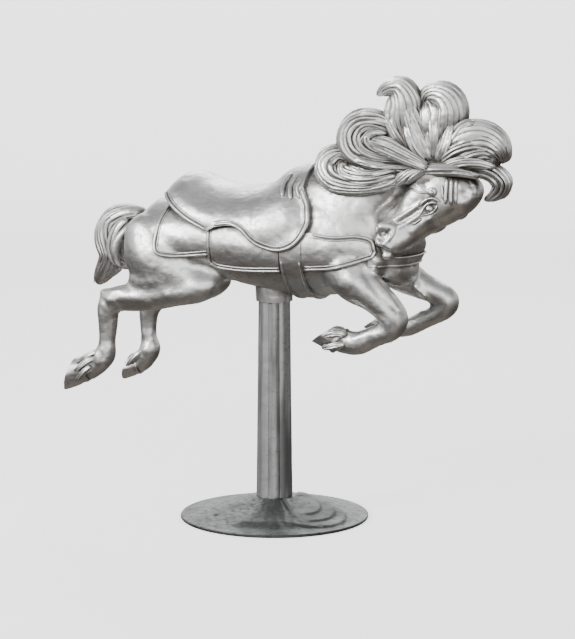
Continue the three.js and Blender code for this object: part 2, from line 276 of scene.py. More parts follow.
# %% [markdown]
# ## Strokes of the carving tool
# Muscle lines, nostrils and lips are strokes: a path seen from the side, a width, and a height
# that is negative for a groove. The stroke moves the skin along its own normals and fades
# out across its width, so a few numbers do what a sculpting brush does.

# %% Distance to a path, and a stroke


def gap_to(points, path):
    """Distance of each point from a line through the path's corners, in the same units."""
    path = np.asarray(path, float)
    if len(path) == 1:
        return np.linalg.norm(points - path[0], axis=1)
    best = np.full(len(points), 1e9)
    for a, b in zip(path[:-1], path[1:]):
        run = b - a
        share = np.clip((points - a) @ run / max(run @ run, 1e-9), 0, 1)
        best = np.minimum(best, np.linalg.norm(points - a - share[:, None] * run, axis=1))
    return best


# a stroke has its full height where the sideways part of the normal is 1 / SIDE_FACING or more
SIDE_FACING = 2.5


def strokes(made, rows):
    """Each row is (side, path, width, height): side -1 is the right flank, 1 the left."""
    points, normals = points_of(made) / MM, normals_of(made)
    for side, path, width, height in rows:
        path = np.asarray(path, float)
        if len(path) > 2:
            path = along(path, np.linspace(0, 1, 4 * len(path)))
        gap = gap_to(points[:, [0, 2]], path)
        facing = np.clip(normals[:, 1] * side * SIDE_FACING, 0, 1)
        points = points + normals * (height * facing * np.exp(-(gap / width) ** 2))[:, None]
    put_points(made, points * MM)
    return made


# %% [markdown]
# ## The body
# The barrel, neck, thighs and legs are one run of forms in the real casting. Each could be
# sculpted by hand, but a table of stations is easier to correct: a place, a half-width across and a
# half-depth. Extra forms fill the neck root, shoulders, breast, gaskins and the point of the hock.

# %% Tables of the body and legs
BARREL = [
    (-424, 0, 782, 28, 26), (-388, 0, 774, 88, 76), (-340, 0, 768, 138, 106), (-250, 0, 772, 150, 112),
    (-140, 0, 772, 150, 113), (-30, 0, 765, 154, 124), (80, 0, 762, 158, 134), (180, 0, 766, 156, 134),
    (270, 0, 772, 144, 122), (345, 0, 770, 116, 98), (388, 0, 756, 90, 74), (420, 0, 740, 66, 50)]
NECK = [
    (10, 0, 846, 96, 70), (100, -4, 862, 112, 106), (190, -8, 876, 108, 112), (280, -14, 892, 98, 104),
    (350, -20, 916, 84, 92), (410, -28, 948, 72, 80), (470, -30, 965, 64, 68), (530, -30, 962, 56, 54)]
NEAR_THIGH = [
    (-352, -62, 838, 58, 44), (-334, -82, 774, 72, 76), (-302, -98, 714, 72, 92), (-232, -110, 668, 56, 70),
    (-186, -116, 648, 36, 40)]
FAR_THIGH = [
    (-362, 62, 838, 58, 44), (-362, 84, 774, 72, 90), (-330, 98, 704, 70, 94), (-282, 110, 640, 54, 64),
    (-250, 114, 606, 36, 40)]
NEAR_HIND = [
    (-108, -104, 668, 34, 22), (-170, -112, 646, 46, 42), (-245, -118, 628, 46, 40),
    (-330, -121, 610, 38, 40), (-416, -122, 600, 33, 36), (-448, -122, 578, 30, 33),
    (-452, -122, 526, 24, 28), (-455, -122, 478, 22, 24), (-464, -122, 438, 28, 31),
    (-502, -122, 401, 27, 30), (-530, -122, 388, 26, 29)]
FAR_HIND = [
    (-190, 104, 650, 36, 26), (-250, 112, 622, 46, 40), (-330, 116, 594, 42, 36), (-412, 119, 574, 34, 32),
    (-448, 120, 540, 30, 30), (-454, 120, 496, 23, 25), (-452, 120, 452, 22, 23), (-448, 120, 420, 28, 29),
    (-474, 120, 384, 27, 29), (-498, 120, 372, 26, 28)]
NEAR_FORE = [
    (235, -86, 745, 62, 74), (285, -104, 690, 56, 62), (345, -116, 650, 42, 44), (402, -120, 602, 33, 37),
    (396, -120, 568, 30, 31), (350, -120, 546, 25, 29), (300, -120, 524, 29, 32), (258, -120, 527, 28, 33),
    (236, -120, 533, 28, 31)]
FAR_FORE = [
    (290, 76, 735, 58, 62), (340, 90, 686, 52, 50), (404, 104, 650, 40, 36), (462, 108, 622, 33, 32),
    (458, 108, 593, 30, 27), (408, 108, 566, 25, 25), (352, 108, 539, 28, 26), (304, 108, 537, 27, 31),
    (284, 108, 542, 27, 30)]
COLLAR = [
    (60, 0, 830, 122, 80), (160, 0, 838, 132, 92), (260, -6, 842, 122, 94), (340, -6, 838, 92, 84),
    (392, -6, 818, 66, 70)]
BREAST = [(320, 0, 708, 84, 46), (372, 0, 720, 82, 54), (414, 0, 730, 58, 44)]
NEAR_GASKIN = [
    (-392, -100, 644, 30, 26), (-340, -108, 656, 46, 46), (-280, -112, 664, 54, 56),
    (-210, -112, 664, 48, 50), (-150, -108, 664, 30, 34)]
FAR_GASKIN = [
    (-404, 100, 622, 30, 26), (-352, 108, 634, 46, 44), (-300, 112, 640, 52, 50), (-240, 110, 640, 36, 40)]
HOCK = [
    (-474, -122, 618, 13, 11), (-452, -122, 610, 22, 18), (-420, -122, 606, 22, 20),
    (-396, -122, 598, 14, 14)]
SHOULDERS = [
    [(220, side * 76, 850, 30, 40), (268, side * 86, 800, 44, 50), (318, side * 86, 748, 42, 46),
     (352, side * 80, 712, 34, 36)] for side in (-1, 1)]
SEAT = [
    (-316, 0, 862, 50, 40), (-294, 0, 850, 110, 90), (-252, 0, 838, 138, 119), (-205, 0, 826, 150, 114),
    (-140, 0, 808, 160, 116), (-60, 0, 796, 168, 126), (20, 0, 794, 170, 140), (84, 0, 800, 168, 164),
    (130, 0, 806, 158, 160), (170, 0, 812, 120, 130)]

# %% [markdown]
# ## One skin for the body, another for the seat
# The saddle swells above the back, so it needs a form of its own. It is skinned together with the
# trunk, a saddle's thickness smaller, and grown out to its true size later. Where forms meet at a
# sharp angle the skin is eased a little more, as a caster fills a corner with a fillet.

# %% Build the body's skin and the seat's
# the voxel is in metres, and the rest in millimetres
BODY_VOXEL = 0.0086
SADDLE_PROUD = 12
EASING_EDGE = 30
NECK_ROOT = ((180, -220, 780), (430, 220, 940))
FLANK = ((-290, -220, 630), (-80, -20, 750))


def trunk_forms():
    return [swept(BARREL, 48, 40, 0.06), swept(NECK, 40, 30), swept(COLLAR, 40, 24, 0.2),
            swept(NEAR_THIGH, 32, 24, 0.16), swept(FAR_THIGH, 32, 24, 0.16)]


def limb_forms():
    forms = [swept(BREAST, 32, 20, 0.3)]
    forms += [swept(leg, 28, 60, 0.06) for leg in (NEAR_HIND, FAR_HIND, NEAR_FORE, FAR_FORE)]
    return forms + [swept(form, 28, 20, 0.2) for form in (*SHOULDERS, NEAR_GASKIN, FAR_GASKIN, HOCK)]


def eased(made, low, high, passes):
    """Smooths the skin inside a box of millimetres, and less towards the sides of the box."""
    points, edges = points_of(made), edges_of(made)
    inside = np.minimum(points / MM - low, np.array(high) - points / MM).min(axis=1)
    share = np.clip(inside / EASING_EDGE, 0, 1)[:, None]
    for _ in range(passes):
        points = points + PULL_IN * share * pulled(points, edges)
    put_points(made, points)
    return made


body = skin(trunk_forms() + limb_forms(), "horse_casting", BODY_VOXEL, passes=14)
eased(body, *NECK_ROOT, passes=40)
eased(body, *FLANK, passes=18)
seat = skin(trunk_forms() + [swept(SEAT, 48, 36, grow=-SADDLE_PROUD)], "saddle", BODY_VOXEL, passes=16)

# %% [markdown]
# ## Muscles and bones
# A carver of such horses cuts the thigh, shoulder and forearm with a few long hollows, and leaves
# the hock, knee and fetlock bony. These are strokes on the body's skin. The deepest is the groove
# of the throat, behind the jaw, and it is eased after it is cut. The seat gets its own few.

# %% Carve the muscles
MUSCLES = [
    # near thigh and flank
    (-1, [(-392, 800), (-400, 740), (-378, 680), (-330, 640)], 18, 2.5),
    (-1, [(-310, 690), (-250, 660), (-200, 650)], 22, -2),
    (-1, [(-340, 820), (-322, 760), (-290, 720)], 20, -2),
    (-1, [(-168, 716), (-122, 700), (-92, 664)], 8, -4),
    # near hock
    (-1, [(-420, 585), (-380, 590), (-330, 588)], 10, -3.5),
    (-1, [(-476, 618), (-450, 622), (-400, 626)], 7, 3),
    (-1, [(-438, 604), (-420, 596), (-408, 580), (-424, 566)], 6, 3.5),
    (-1, [(-460, 600), (-446, 592), (-436, 576)], 5, -3),
    (-1, [(-404, 566), (-396, 552)], 6, -2.5),
    # near hind cannon and fetlock
    (-1, [(-460, 560), (-462, 500), (-458, 460)], 7, 3),
    (-1, [(-440, 540), (-442, 480)], 6, -3),
    (-1, [(-478, 446), (-470, 424), (-450, 420)], 9, 3),
    (-1, [(-506, 418), (-520, 380)], 5, -3),
    (-1, [(-490, 424), (-502, 384)], 5, -2.5),
    # near elbow and forearm
    (-1, [(196, 700), (250, 680), (300, 690)], 16, 2),
    (-1, [(342, 722), (384, 670), (424, 620)], 6, 6),
    (-1, [(326, 714), (368, 662), (408, 614)], 6, -4),
    # near knee
    (-1, [(372, 594), (396, 588)], 13, 5),
    (-1, [(366, 610), (392, 600), (412, 580)], 6, -2.5),
    # near fore fetlock
    (-1, [(268, 504), (258, 548)], 5, -3),
    (-1, [(284, 500), (276, 550)], 5, -2.5),
    (-1, [(300, 540), (340, 556)], 7, 3),
    # near shoulder and neck
    (-1, [(250, 770), (300, 730), (336, 700)], 18, -2),
    (-1, [(300, 880), (340, 840), (372, 800)], 26, 3),
    # far side: throat, thigh, cannon, shoulder, forearm and fetlock
    (1, [(412, 960), (402, 920), (384, 884)], 12, -8),
    (1, [(-392, 800), (-400, 740), (-378, 680), (-350, 640)], 18, 2.5),
    (1, [(-452, 540), (-456, 480), (-452, 440)], 7, 2.5),
    (1, [(300, 770), (350, 720), (400, 690)], 18, -2),
    (1, [(360, 690), (400, 660), (440, 636)], 6, 4),
    (1, [(300, 516), (290, 560)], 5, -2.5),
]
THROAT_GROOVE = (-1, [(420, 966), (408, 922), (388, 886), (360, 860)], 16, -25)
THROAT = ((320, -200, 830), (470, -40, 1000))
SEAT_STROKES = [(side, path, width, height) for side in (-1, 1) for path, width, height in (
    ([(10, 862), (14, 830), (24, 800)], 6, -1.6), ([(-200, 858), (-150, 846), (-120, 834)], 14, 2))]
strokes(body, MUSCLES)
strokes(body, [THROAT_GROOVE])
eased(body, *THROAT, passes=3)
strokes(seat, SEAT_STROKES)
print("strokes", len(MUSCLES) + 1 + len(SEAT_STROKES))

# %% [markdown]
# ## The head
# The head is carved finer than the body, so it gets a finer skin of its own. Cheeks, brows, nose
# bone, nostrils and lips are forms that the skin joins. What is cut into them is strokes: the
# hollow of each nostril, the mouth, the eye socket, and the straps' edges along the cheek.

# %% Build the head
HEAD = [
    (566, -28, 985, 44, 44), (546, -30, 946, 58, 70), (502, -38, 908, 62, 70), (462, -50, 875, 56, 59),
    (427, -64, 842, 48, 51), (401, -80, 814, 44, 46), (377, -96, 788, 42, 38), (366, -102, 764, 27, 27)]
CHEEK = [(500, -70, 948, 22, 30), (470, -78, 922, 24, 42), (440, -82, 890, 22, 38), (414, -84, 862, 17, 24),
         (392, -88, 848, 12, 13)]
FAR_CHEEK = [(x, y + 84 - 0.2 * (500 - x), z, across, deep) for x, y, z, across, deep in CHEEK]
HEAD_FORMS = [
    CHEEK, FAR_CHEEK,
    [(524, -76, 912, 12, 14), (502, -86, 908, 16, 16), (476, -84, 896, 13, 13)],  # near brow
    [(552, -2, 896, 14, 18), (537, 6, 874, 21, 23), (516, 4, 858, 14, 16)],  # far brow
    [(504, -20, 852, 26, 18), (482, -26, 836, 30, 20), (456, -36, 826, 24, 16)],  # bone of the nose
    [(400, -108, 842, 14, 14), (378, -116, 822, 24, 30), (362, -118, 804, 17, 20)],  # near nostril
    [(400, -58, 842, 14, 14), (378, -64, 822, 24, 30), (362, -68, 804, 17, 20)],  # far nostril
    [(402, -96, 784, 26, 11), (382, -102, 784, 30, 15), (360, -106, 787, 24, 11)],  # upper lip
    [(394, -96, 762, 20, 10), (376, -100, 760, 24, 14), (360, -104, 765, 18, 10)],  # lower lip
]
HEAD_VOXEL, HEAD_BOXED = 0.0036, 0.68
head_parts = [swept(HEAD, 48, 48, 0.12, power=HEAD_BOXED)] + [swept(f, 24, 18, 0.25) for f in HEAD_FORMS]
head = skin(head_parts, "head", HEAD_VOXEL, passes=7)
FACE = [
    # edges of the cheek strap, and the groove between them
    (-1, [(416, 838), (444, 855), (468, 872)], 5, 2.5),
    (-1, [(398, 857), (428, 873), (452, 890), (468, 904)], 5, 2.5),
    (-1, [(408, 847), (438, 865), (460, 882)], 5, -3.5),
    # rim and hollow of the near nostril
    (-1, [(362, 842), (380, 850), (398, 844), (403, 828), (394, 808), (376, 794)], 5, 3),
    (-1, [(364, 822), (378, 828), (390, 826)], 8, -13),
    (-1, [(362, 812), (372, 813), (384, 813)], 7, -8),
    # hollow of the forehead, and under the cheek
    (-1, [(592, 948), (588, 930)], 22, -11),
    (-1, [(500, 846), (532, 862), (556, 880)], 13, -8),
    # folds of the muzzle, mouth and corner of the lips
    (-1, [(366, 803), (372, 802)], 6, -7),
    (-1, [(368, 824), (384, 831)], 3.2, 3),
    (-1, [(356, 780), (372, 777), (398, 771)], 4.5, -9),
    (-1, [(376, 790), (394, 780)], 8, 3),
    # eye socket and cheekbone
    (-1, [(490, 888)], 19, -6),
    (-1, [(486, 860), (470, 844), (448, 826)], 8, 3),
    # far side: nostril, mouth and eye socket
    (1, [(362, 824), (376, 830), (388, 829)], 9, -8),
    (1, [(360, 814), (370, 815), (384, 815)], 8, -8),
    (1, [(356, 780), (372, 777), (398, 771)], 4.5, -7),
    (1, [(490, 888)], 19, -5),
]
strokes(head, FACE)

# %% [markdown]
# ## Rolls that lie on a surface
# Straps, lids and piped edges are thin rolls on top of a form. Their places are easy to draw from
# the side, but not in depth, so a ray cast from that side finds where the drawn path meets the
# surface, and a thin swept form follows it there.

# %% Beads that lie on a surface


RAY_START = 0.4
BEAD_TAPER = 6


def surface_of(made):
    graph = bpy.context.evaluated_depsgraph_get()
    return BVHTree.FromObject(made, graph)


def laid(surface, path, side):
    """Where rays from one side meet the surface, for each (x, z) of the path."""
    found = []
    for x, z in path:
        hit = surface.ray_cast(Vector((x * MM, side * RAY_START, z * MM)), Vector((0, -side, 0)))[0]
        if hit is not None:
            found.append(tuple(c / MM for c in hit))
    return found


def evenly(path, step):
    """Points along the path, spread evenly about a step apart, from its start to its end."""
    path = np.asarray(path, float)
    run = np.concatenate([[0], np.cumsum(np.linalg.norm(np.diff(path, axis=0), axis=1))])
    places = np.linspace(0, run[-1], max(int(run[-1] / step), 2) + 1)
    return np.stack([np.interp(places, run, path[:, k]) for k in range(path.shape[1])], 1)


def bead(points, radius, ends=0.55):
    """A roll through the points, thinner towards its two ends."""
    points = np.asarray(points, float)
    share = np.linspace(0, 1, len(points))
    size = radius * (ends + (1 - ends) * np.minimum(1, BEAD_TAPER * np.minimum(share, 1 - share)))
    rows = np.hstack([points, size[:, None], size[:, None]])
    return swept(rows, 10, max(2 * len(rows), 8), 0.03)


def ball(place, radius, flat=1.0):
    bm = bmesh.new()
    bmesh.ops.create_uvsphere(bm, u_segments=24, v_segments=16, radius=radius * MM)
    bmesh.ops.scale(bm, verts=bm.verts[:], vec=(1, flat, 1))
    bmesh.ops.translate(bm, verts=bm.verts[:], vec=Vector(place) * MM)
    return bm


# %% [markdown]
# ## Eyes and bridle
# The eye is a ball in a socket, and each lid is a thin roll that follows the ball. The bridle is
# cast on: a rosette at the temple, the rolls of the browband, and a strap down the cheek. They are
# the same on both sides of the head.

# %% Eyes, rosettes and bridle
EYE, EYE_RADIUS, EYE_SUNK = (490, 886), 13, 3.5
LID_PROUD = 1.5
LIDS = [([(513, 902), (500, 904), (484, 898), (474, 886), (468, 870)], 3.8),
        ([(513, 900), (509, 888), (499, 878), (484, 872), (468, 869)], 3.0),
        ([(522, 906), (502, 915), (480, 909), (464, 892)], 3.4),
        ([(472, 862), (460, 852), (446, 844)], 2.8)]
# the rosette is a flat plate with a knob on it, each a radius and a flatness
ROSETTE, ROSETTE_PLATE, ROSETTE_KNOB, KNOB_PROUD = (497, 930), (13, 0.45), (8, 0.8), 3
BROWBAND = [([(534, 968), (534, 900)], 5.2), ([(546, 970), (548, 896)], 5.2),
            ([(558, 968), (560, 900)], 5.2), ([(522, 950), (528, 912)], 3.6)]
CHEEK_STRAP = [(436, 936), (467, 928), (486, 929)]
BUCKLE_ROLLS = [[(484, 916), (468, 900)], [(492, 916), (476, 900)]]
head_surface = surface_of(head)
details = []
for side in (-1, 1):
    eye_y = laid(head_surface, [EYE], side)[0][1] - side * EYE_SUNK
    details.append(ball((EYE[0], eye_y, EYE[1]), EYE_RADIUS))
    for lid, radius in LIDS:
        path = laid(head_surface, along(lid, np.linspace(0, 1, 12)), side)
        path = [(x, y + side * LID_PROUD, z) for x, y, z in path]
        details.append(bead(path, radius, 0.2))
    rosette_y = laid(head_surface, [ROSETTE], side)[0][1]
    details.append(ball((ROSETTE[0], rosette_y, ROSETTE[1]), *ROSETTE_PLATE))
    details.append(ball((ROSETTE[0], rosette_y + side * KNOB_PROUD, ROSETTE[1]), *ROSETTE_KNOB))
    for roll, radius in BROWBAND:
        details.append(bead(laid(head_surface, evenly(roll, 6), side), radius))
    details.append(bead(laid(head_surface, evenly(CHEEK_STRAP, 6), side), 3.0, 0.9))
    for roll in BUCKLE_ROLLS:
        details.append(bead(laid(head_surface, evenly(roll, 5), side), 2.6, 0.9))
print("eyes and bridle", len(details), "shells")

# %% [markdown]
# ## Hooves
# A hoof is a slanted cup between the coronet, where the hair ends, and the sole. A cone, which the
# operator cuts into rows, is moved onto those two rings. The wall swells below the coronet, dips
# under it and is rougher towards the sole, and the sole is set in. Each row of the table gives the
# coronet's centre, half of its slope, the heel, the toe, and the distance from the middle.

# %% Build the hooves
LEG_STANCE = 122
HOOF_HALF_WIDTH, HOOF_TAPER = 36, 0.18
# bands round the wall, each a height, where its middle is between sole and coronet, and a reach
HOOF_BANDS = ((0.03, 0.9, 0.06), (-0.06, 0.74, 0.08))
HOOF_LUMPS, SOLE_WEAR = 0.1, 0.09
HOOVES = [
    ((-514, 395), (5, -31), (-556, 424), (-586, 332), -LEG_STANCE),
    ((-482, 377), (5, -30), (-508, 404), (-534, 326), LEG_STANCE),
    ((252, 527), (-20, -33), (236, 566), (172, 522), -LEG_STANCE),
    ((300, 536), (-20, -32), (284, 570), (222, 528), LEG_STANCE - 14)]


def hoof_swell(across, deep, up, y):
    """The hoof wall's share of its plain radius, at a height from sole 0 to coronet 1."""
    swell = 1
    for height, middle, reach in HOOF_BANDS:
        swell += height * math.exp(-((up - middle) / reach) ** 2)
    swell += HOOF_LUMPS * noise.noise(Vector((across * 2, deep * 2, up + y)))
    return swell + SOLE_WEAR * (1 - up) * noise.noise(Vector((across * 6, deep * 6, up + y)))


def hoof(coronet, ring, heel, toe, y):
    bm = bmesh.new()
    bmesh.ops.create_cone(bm, cap_ends=True, segments=40, radius1=1, radius2=1, depth=2)
    rim = [e for e in bm.edges if abs(e.verts[0].co.z - e.verts[1].co.z) > 1]
    bmesh.ops.subdivide_edges(bm, edges=rim, cuts=9, use_grid_fill=True)
    sole_face = min(bm.faces, key=lambda f: f.calc_center_median().z)
    bmesh.ops.inset_region(bm, faces=[sole_face], thickness=0.16, depth=0.0)
    bmesh.ops.inset_region(bm, faces=[sole_face], thickness=0.05, depth=-0.08)
    coronet, ring, heel, toe = (np.array(p, float) for p in (coronet, ring, heel, toe))
    sole, half = (heel + toe) / 2, (toe - heel) / 2
    for v in bm.verts:
        up = (v.co.z + 1) / 2
        swell = hoof_swell(v.co.x, v.co.y, up, y)
        rise = sole + (coronet - sole) * up + v.co.x * (half + (ring - half) * up) * swell
        width = HOOF_HALF_WIDTH * (1 - HOOF_TAPER * up) * swell
        v.co = Vector((rise[0], y + v.co.y * width, rise[1])) * MM
    bmesh.ops.recalc_face_normals(bm, faces=bm.faces[:])
    if bm.calc_volume(signed=True) < 0:
        bmesh.ops.reverse_faces(bm, faces=bm.faces[:])
    return bm


hooves = [hoof(*row) for row in HOOVES]
print("hooves", len(hooves), "faces", sum(len(shell.faces) for shell in hooves))

# %% [markdown]
# ## Mane, tail and feathers
# Carved hair is built in two scales: a lock gives the outline, and strands ride along it. Each row
# here is one lock, from root to tip, and ends with the turns that its strands take round it, or None
# for a lock without strands. Feathers are the short tufts over the hooves.

# %% Tables of the locks
MANE = [
    ([(226, -46, 985, 30, 36), (300, -42, 1022, 38, 62), (400, -38, 1044, 44, 78),
      (500, -34, 1046, 44, 72), (600, -30, 1030, 40, 54), (660, -26, 1004, 30, 34)], None),
    ([(420, -86, 968, 20, 14), (360, -98, 942, 24, 18), (290, -104, 936, 26, 24),
      (218, -98, 952, 32, 36), (198, -86, 994, 34, 42), (232, -78, 1018, 28, 32),
      (266, -80, 1000, 20, 20)], 0.2),
    ([(455, -70, 994, 22, 18), (360, -78, 998, 28, 26), (278, -76, 1014, 36, 38),
      (254, -68, 1064, 42, 38), (282, -60, 1104, 38, 38), (340, -56, 1104, 30, 32),
      (372, -56, 1082, 16, 16)], 0.15),
    ([(484, -88, 990, 20, 14), (425, -98, 1018, 26, 22), (368, -96, 1044, 28, 26),
      (322, -88, 1058, 18, 16)], 0.1),
    ([(408, -42, 1030, 40, 42), (392, -42, 1100, 44, 54), (400, -42, 1156, 42, 50),
      (388, -42, 1192, 34, 36), (350, -42, 1194, 24, 24), (316, -42, 1174, 10, 8)], 0.2),
    ([(480, -34, 1030, 42, 44), (500, -34, 1096, 46, 60), (515, -32, 1142, 44, 58),
      (498, -32, 1176, 38, 42), (460, -32, 1178, 30, 28), (446, -32, 1146, 24, 20)], 0.2),
    ([(446, -44, 1020, 40, 40), (448, -40, 1080, 40, 40), (446, -34, 1130, 34, 30),
      (444, -32, 1160, 20, 14)], 0.1),
    ([(490, -36, 1020, 40, 42), (560, -34, 1058, 46, 56), (622, -30, 1064, 46, 50),
      (658, -26, 1038, 38, 34), (664, -24, 1004, 18, 18)], 0.15),
    ([(520, -40, 992, 34, 20), (585, -34, 990, 38, 22), (640, -28, 980, 38, 26),
      (664, -24, 950, 32, 28), (642, -22, 922, 20, 18), (612, -20, 906, 6, 6)], 0.1),
    ([(484, -62, 1004, 20, 20), (452, -62, 1072, 24, 26), (420, -58, 1140, 22, 24),
      (398, -54, 1180, 12, 12)], 0.1),
    ([(500, -60, 1004, 20, 22), (540, -58, 1058, 24, 26), (572, -52, 1098, 20, 22),
      (596, -44, 1112, 8, 8)], 0.1),
    ([(424, -64, 1016, 20, 22), (392, -64, 1064, 24, 26), (366, -60, 1110, 20, 20),
      (352, -54, 1136, 8, 8)], 0.1),
    ([(505, -66, 992, 18, 16), (560, -68, 1008, 24, 20), (612, -62, 1010, 22, 20),
      (656, -52, 996, 12, 10)], 0.1),
    ([(488, -60, 1010, 20, 20), (494, -62, 1076, 24, 26), (488, -56, 1130, 20, 22),
      (476, -52, 1160, 8, 8)], 0.1),
    ([(500, -64, 1006, 20, 18), (556, -64, 1040, 24, 22), (616, -56, 1050, 22, 22),
      (660, -46, 1026, 12, 12)], 0.1),
    ([(452, -80, 984, 16, 12), (506, -80, 988, 24, 18), (566, -70, 986, 26, 18),
      (618, -54, 974, 18, 12)], 0.1),
    ([(470, -74, 1004, 18, 14), (440, -70, 1040, 26, 26), (424, -66, 1084, 22, 24),
      (410, -62, 1120, 10, 10)], 0.1),
    ([(500, -70, 1004, 16, 14), (522, -66, 1044, 24, 24), (534, -60, 1084, 20, 22),
      (540, -54, 1110, 10, 10)], 0.1),
    ([(460, -86, 990, 12, 10), (410, -94, 992, 18, 14), (340, -98, 996, 20, 16),
      (278, -98, 1010, 16, 14)], 0.1),
    ([(412, -90, 976, 10, 8), (360, -104, 968, 14, 12), (300, -110, 976, 14, 12),
      (266, -106, 990, 8, 8)], 0.2),
    ([(404, -90, 956, 10, 8), (350, -104, 946, 14, 12), (296, -112, 948, 14, 12),
      (272, -110, 966, 8, 8)], 0.2),
    ([(440, -76, 1006, 16, 12), (364, -84, 1012, 24, 20), (304, -82, 1030, 30, 26),
      (284, -74, 1066, 30, 28), (306, -68, 1090, 28, 24), (344, -64, 1086, 22, 20),
      (372, -60, 1066, 12, 12)], 0.1),
    ([(424, -80, 1016, 12, 10), (372, -86, 1024, 20, 16), (326, -84, 1042, 26, 22),
      (314, -78, 1064, 26, 22), (336, -72, 1076, 22, 18), (360, -68, 1066, 12, 10)], 0.1),
    ([(470, -36, 1040, 34, 34), (474, -42, 1100, 38, 44), (474, -42, 1144, 32, 38),
      (462, -40, 1168, 18, 20)], 0.1),
    ([(424, -44, 1050, 34, 30), (420, -46, 1110, 36, 34), (408, -46, 1150, 32, 34),
      (386, -44, 1172, 18, 20)], 0.1),
    ([(540, -50, 1010, 30, 24), (590, -50, 1030, 36, 32), (630, -42, 1034, 34, 30),
      (656, -36, 1016, 16, 16)], 0.1),
    ([(404, -96, 972, 14, 12), (352, -104, 960, 24, 20), (296, -104, 960, 26, 24),
      (252, -96, 976, 26, 26), (250, -88, 1000, 20, 20)], 0.2),
    ([(404, -100, 985, 10, 8), (356, -108, 974, 16, 12), (316, -110, 972, 16, 12),
      (290, -108, 990, 8, 8)], 0.2),
    ([(470, -84, 992, 16, 12), (436, -94, 978, 20, 18), (410, -98, 960, 18, 16),
      (392, -100, 946, 8, 8)], 0.1),
    ([(480, -84, 992, 14, 12), (452, -92, 978, 18, 16), (430, -94, 962, 16, 14),
      (418, -94, 950, 6, 6)], 0.1),
    ([(366, -76, 1076, 10, 8), (322, -88, 1078, 14, 12), (296, -94, 1046, 14, 12),
      (318, -96, 1016, 8, 8)], 0.2),
]
TAIL = [
    ([(-390, -10, 826, 34, 26), (-440, -14, 822, 42, 34), (-486, -20, 798, 46, 42),
      (-494, -24, 752, 46, 46), (-484, -24, 706, 44, 42), (-518, -18, 658, 34, 30),
      (-546, -12, 618, 16, 14)], 0.15),
    ([(-424, -40, 812, 28, 20), (-450, -52, 780, 26, 24), (-464, -58, 730, 24, 24),
      (-450, -54, 694, 24, 20), (-414, -44, 674, 8, 6)], 0.1),
    ([(-400, -62, 806, 8, 8), (-424, -78, 778, 11, 11), (-444, -84, 744, 12, 12),
      (-448, -82, 708, 12, 11), (-436, -70, 680, 6, 6)], None),
]
FEATHERS = [
    ([(-480, -134, 432, 11, 13), (-504, -143, 422, 14, 13), (-530, -147, 402, 12, 10),
      (-552, -146, 382, 5, 5)], 0.1),
    ([(-494, -140, 408, 10, 9), (-513, -145, 394, 12, 10), (-531, -146, 376, 9, 7),
      (-544, -143, 362, 4, 4)], 0.1),
    ([(-462, -124, 450, 10, 13), (-486, -134, 444, 14, 12), (-514, -139, 432, 12, 9),
      (-544, -140, 414, 5, 5)], 0.1),
    ([(-460, 106, 420, 10, 11), (-478, 96, 404, 12, 12), (-498, 93, 386, 10, 9),
      (-514, 94, 366, 4, 4)], 0.1),
    ([(274, -136, 546, 12, 12), (252, -145, 550, 14, 12), (228, -148, 546, 11, 9),
      (206, -145, 536, 4, 4)], 0.1),
    ([(272, -138, 522, 12, 11), (250, -146, 519, 14, 12), (226, -148, 513, 10, 9),
      (206, -145, 508, 4, 4)], 0.1),
]

# %% [markdown]
# ## Strands round a lock
# The strands could be a pattern on the lock's surface, but a groove cut that way has a round bottom
# and the same depth everywhere. So each strand is a thin form of its own. It rides round the lock on
# a slowly turning path, sinks into the core and thins to a point, and the grooves between strands
# come out shallow, uneven and sharp at the bottom, as a gouge leaves them.

# %% Wind strands of hair round each lock
STRAND_REACH, STRAND_SIZE, STRAND_LEAST = 0.80, 0.2, 2.6
STRAND_GAP, FEWEST_STRANDS = 9.6, 6
CORE_SHARE = 0.86
# each strand draws its start, end, shift outwards and width from these
STARTS, ENDS, SHIFTS, WIDTHS = (0.0, 0.1), (0.88, 1.0), (-0.05, 0.06), (0.85, 1.2)
BEARING_SPREAD, TIP_SHARE, TIP_TAPER = 0.22, 0.35, 2.2
random.seed(7)


def strand(stations, start, turn):
    """One strand along a lock, from the bearing `start` round its core."""
    steps = np.linspace(0, 1, 9)
    first, last = random.uniform(*STARTS), random.uniform(*ENDS)
    t = first + (last - first) * steps
    spine, size = along(stations[:, :3], t), along(stations[:, 3:5], t)
    sideways, outward = across_and_out(stations[:, :3], t)
    angle = start + turn * 2 * math.pi * t
    reach = STRAND_REACH + random.uniform(*SHIFTS)
    place = spine - (np.cos(angle) * size[:, 0] * reach)[:, None] * sideways
    place = place + (np.sin(angle) * size[:, 1] * reach)[:, None] * outward
    thin = np.minimum(1, TIP_SHARE + TIP_TAPER * np.minimum(steps, 1 - steps))
    width = np.maximum(size * STRAND_SIZE * random.uniform(*WIDTHS) * thin[:, None], STRAND_LEAST)
    return swept(np.hstack([place, width]), 8, 8 + 2 * len(stations), 0.1)


def lock(stations, turn):
    """The lock's core and, unless `turn` is None, its strands, as closed shells."""
    stations = np.asarray(stations, float)
    if turn is None:
        return [swept(stations, 24, 6 * len(stations), 0.08)]
    shells = [swept(stations * [1, 1, 1, CORE_SHARE, CORE_SHARE], 24, 6 * len(stations), 0.08)]
    round_it = 2 * math.pi * STRAND_REACH * stations[:, 3:5].mean()
    count = max(round(round_it / STRAND_GAP), FEWEST_STRANDS)
    for k in range(count):
        start = 2 * math.pi * (k + random.uniform(-BEARING_SPREAD, BEARING_SPREAD)) / count
        shells.append(strand(stations, start, turn))
    return shells


hair = [shell for row in MANE + TAIL + FEATHERS for shell in lock(*row)]
print("hair shells", len(hair), "faces", sum(len(shell.faces) for shell in hair))

# %% [markdown]
# ## Saddle, cloths and girth
# On the casting these stand a few millimetres proud of the flank, with a crisp edge. The skin is
# grown along its normals by that much, and cut to the edge's outline, drawn from the side.

